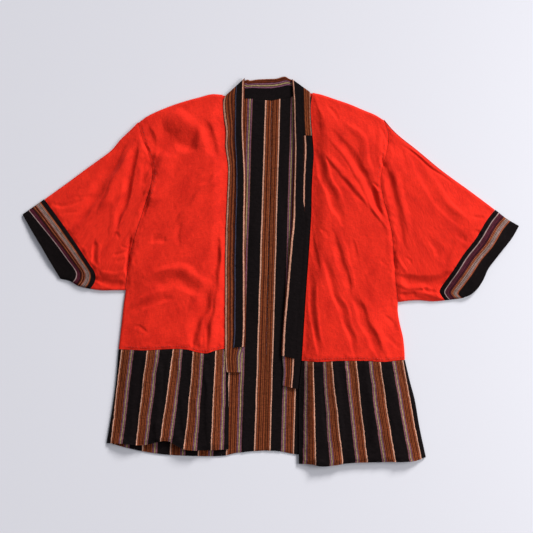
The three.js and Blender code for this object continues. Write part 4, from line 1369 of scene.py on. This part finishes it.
def make_over_collar(half, finish):
    side = half["side"]
    shares = np.linspace(0, 1, 300) * half["over_share"]
    across = np.concatenate([np.linspace(0, 0.7, 12), np.linspace(0.7, 1, 12)[1:]])
    free, _, back = collar_section(half, shares)
    strip = over_width(half, shares)[:, None]
    from_free = (1 - across)[None, :] * strip
    ragged = 0.5 * lattice_noise(np.stack([shares * 500, shares * 0], -1), 9, 51)
    rounding = quarter_round(from_free / COLLAR_RIM) * turn_round(shares)[:, None]
    layers = []
    for raised, moved_in in ((OVER_WALL, 0.0), (0.0, OVER_WALL)):
        distance = from_free + moved_in * across[None, :]
        distance = distance + ragged[:, None] * np.maximum(0, from_free - 0.8 * strip) / 5
        plan = free[:, None] + distance[..., None] * back[:, None]
        low = np.where(across == 1, COLLAR_UNDER, COLLAR_UNDER + COLLAR_EDGE + OVER_GAP + raised)[None, :]
        z = low + (COLLAR_TOP + OVER_GAP + raised - low) * rounding
        if raised:
            stitched = np.exp(-(((from_free - strip + 1.5) / 1.6) ** 2))
            z = z + strip_relief(plan, 45) * rounding - 0.25 * stitched
            shown = plan
        layers.append(np.dstack([plan, z]))
    uv = np.stack(np.broadcast_arrays(inside_repeat(from_free / strip), shares[:, None]), -1)
    node_name = f"over_collar_{side}"
    piece = shell(f"{node_name}_cloth", layers[0], layers[1], False, uv, finish)
    cloth(piece, shown)


def make_collar(half, finishes):
    side = half["side"]
    if half is RIGHT:
        make_collar_body(half, "collar_right", 0, 1, 320, finishes["collar_right"])
    else:
        cut = level_cut(half, ACROSS_COLLAR, PIECING_Y)
        upper_end = cut - PIECING_GAP
        make_collar_body(
            half, "collar_left_upper", 0, upper_end, 70, finishes["collar_left_upper"]
        )
        make_collar_body(half, "collar_left", cut, 1, 270, finishes["collar_left"])
    make_over_collar(half, finishes[f"over_{side}"])


NECK_WIDTH = 36  # of the strip, for its rounding
NECK_UNDER_SHARE = 0.94  # width of its under layer over that of the upper
NECK_EDGE = 0.5


def make_neck(finishes):
    """The strip behind the neck lies beyond the shoulder line with its inner face up."""
    along = np.linspace(0, 1, 110)
    across = np.concatenate([np.linspace(0, 0.8, 16), np.linspace(0.8, 1, 8)[1:]])
    sewn, free = smooth_line(NECK_SEWN)(along), smooth_line(NECK_FREE)(along)

    def plan_for(width):
        k = (across * width)[None, :, None]
        return sewn[:, None] * (1 - k) + free[:, None] * k + np.array([0, GAP])

    uv = np.stack(np.broadcast_arrays(inside_repeat(1 - across)[None, :], along[:, None]), -1)
    under = plan_for(NECK_UNDER_SHARE)
    top = np.dstack([under, np.full(under.shape[:2], NECK_UNDER_TOP)])
    low = np.dstack([under, np.zeros(under.shape[:2])])
    piece = shell("collar_neck_cloth", top, low, False, uv, finishes["neck"])
    cloth(piece, under)
    over = plan_for(1.0)
    rounding = quarter_round((1 - across) * NECK_WIDTH / COLLAR_RIM)[None, :]
    base = NECK_UNDER_TOP + GAP
    raised = 0.5 * np.maximum(strip_relief(over, 47), 0)
    z = base + NECK_EDGE + (NECK_OVER_TOP - base - NECK_EDGE) * rounding + raised
    top = np.dstack([over, z])
    low = np.dstack([over, np.full(z.shape, base)])
    piece = shell("over_collar_neck_cloth", top, low, False, uv, finishes["neck"])
    cloth(piece, over)


# ---- sewing ----


RING = 6  # corners round a stitch
# along a stitch: place and thickness, as shares of its length and width
STATIONS = ((-0.5, 0.25), (-0.3, 0.85), (0.0, 1.0), (0.3, 0.85), (0.5, 0.25))
FLATNESS = 0.35
STITCH_RISE = 0.15  # above the cloth


def bead_mesh(name, beads, finish):
    """Small rounded stitches: each has a place, a direction, a length and a width."""
    places, faces = [], []
    for x, y, z, angle, length, width in beads:
        along = np.array([math.cos(angle), math.sin(angle), 0])
        across = np.array([-math.sin(angle), math.cos(angle), 0])
        start = len(places)
        for place, fat in STATIONS:
            for k in range(RING):
                turn = 2 * math.pi * k / RING
                offset = across * math.cos(turn) * width * fat / 2
                height = math.sin(turn) * width * fat * FLATNESS
                spot = np.array([x, y, z]) + along * place * length + offset
                places.append((spot[0] * MM, spot[1] * MM, (spot[2] + height) * MM))
        for i in range(len(STATIONS) - 1):
            for k in range(RING):
                a = start + i * RING + k
                b = start + i * RING + (k + 1) % RING
                faces.append((a, b, b + RING, a + RING))
        faces.append(tuple(start + k for k in reversed(range(RING))))
        faces.append(tuple(start + (len(STATIONS) - 1) * RING + k for k in range(RING)))
    mesh = bpy.data.meshes.new(name)
    mesh.from_pydata(places, [], faces)
    mesh.polygons.foreach_set("use_smooth", np.ones(len(mesh.polygons), bool))
    mesh.materials.append(finish)
    piece = placed(name, mesh)
    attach(piece, "root")


def thread_material(name, dye):
    """Twisted cotton thread with an uneven dye."""
    material, tree, shader = new_material(name)
    where = node(tree, "ShaderNodeTexCoord").outputs["Object"]
    uneven = stretched_noise(tree, where, (900.0, 900.0, 900.0), 2.0, 0.5)
    colour = ramp(tree, uneven, [(0.35, dye), (0.65, "red")], "LINEAR")
    tree.links.new(colour, shader.inputs["Base Color"])
    shader.inputs["Roughness"].default_value = 0.8
    shader.inputs["Sheen Weight"].default_value = 0.2
    return material


def stitch_run(half, line, spacing, length, width, seams, seed):
    """Stitches along a line over the upper layer."""
    fine = line(np.linspace(0, 1, 400))
    at = distances(fine)
    stops = np.arange(spacing / 2, at[-1], spacing)
    stops = stops + spacing * 0.2 * lattice_noise(np.stack([stops, stops * 0], -1), 3, seed)
    x, y = np.interp(stops, at, fine[:, 0]), np.interp(stops, at, fine[:, 1])
    ahead_x, ahead_y = np.interp(stops + 1, at, fine[:, 0]), np.interp(stops + 1, at, fine[:, 1])
    places = np.stack([x, y], -1)
    d, _ = rim_at(half, places)
    z = top_height(half, places, d, seams) + STITCH_RISE
    angles = np.arctan2(ahead_y - y, ahead_x - x)
    return [(*spot, length, width) for spot in zip(x, y, z, angles)]


def make_stitches():
    thread = thread_material("red_thread", "thread")
    for half in (RIGHT, LEFT):
        seams = seams_of(half)
        above_band = moved(edge(half, "band_seam"), 0, 5.5)
        beads = stitch_run(half, above_band, 6.0, 2.6, 1.0, seams, 3)
        beside_arm = moved(edge(half, "armhole"), half["inward"] * 6.0, 0)
        beads += stitch_run(half, part_of(beside_arm, 0.02, 0.45), 8.0, 2.6, 1.0, seams, 4)
        bead_mesh(f"stitches_{half['side']}", beads, thread)


# ---- floor and light ----


FLOOR_REACH = 4.0  # metres each way
FLOOR_Z = -0.0003  # just clear of the cloth's underside


def make_floor():
    corners = [(x * FLOOR_REACH, y * FLOOR_REACH, FLOOR_Z) for x, y in ((-1, -1), (1, -1), (1, 1), (-1, 1))]
    mesh = bpy.data.meshes.new("floor")
    mesh.from_pydata(corners, [], [(0, 1, 2, 3)])
    material, _, shader = new_material("floor")
    shader.inputs["Base Color"].default_value = linear("floor")
    shader.inputs["Roughness"].default_value = 0.9
    shader.inputs["Specular IOR Level"].default_value = 0.1
    mesh.materials.append(material)
    placed("floor", mesh)


def area_light(name, place, aim, size, power, colour):
    data = bpy.data.lights.new(name, "AREA")
    data.size = size
    data.energy = power
    data.color = colour
    light = placed(name, data)
    light.location = place
    away = np.array(place) - np.array(aim)
    flat = math.hypot(away[0], away[1])
    light.rotation_euler = (math.atan2(flat, away[2]), 0, math.atan2(away[0], -away[1]))


SUN_TILT = math.radians(-66.5)
SUN_TURN = math.radians(-32)
SUN_WIDTH = math.radians(16)


def make_light():
    """A low sun from the upper right, a soft light beside it and a pale sky."""
    sun = bpy.data.lights.new("key", "SUN")
    sun.energy = 3.7
    sun.angle = SUN_WIDTH
    sun.color = (1.0, 0.985, 0.96)
    placed("key", sun).rotation_euler = (SUN_TILT, 0, SUN_TURN)
    area_light("side", (2.3, 0.2, 1.5), (0, 0, 0), 1.2, 42, (1.0, 0.99, 0.98))
    world = bpy.data.worlds.new("studio")
    bpy.context.scene.world = world
    world.use_nodes = True
    background = world.node_tree.nodes["Background"]
    background.inputs["Color"].default_value = (0.93, 0.95, 1.0, 1)
    background.inputs["Strength"].default_value = 0.3


def work_out(half):
    """Adds the lines that several pieces of a side share."""
    rows = np.concatenate([half["front_edge"], half["band_front"][1:]])
    half["outer"] = outer_runs(half)
    half["front_run"] = smooth_line(rows)(SEAM_SHARES)
    half["collar"] = collar_edges(half)
    half["over_share"] = share_at(half, half["over_end"])


bpy.context.scene.view_settings.view_transform = "Standard"
make_camera()
FOLD_RUNS = fold_runs()
for half in (RIGHT, LEFT):
    work_out(half)
finishes = make_materials()
for half in (RIGHT, LEFT):
    make_front(half, finishes)
    make_sleeve(half, finishes)
    make_back(half, finishes)
    make_lining(half, finishes)
    make_collar(half, finishes)
make_back_band(finishes)
make_neck(finishes)
make_stitches()
make_floor()
make_light()
for node_name, width, length, area in CUTS:
    print(f"cut {node_name}: {width} x {length} m, {area} m2")
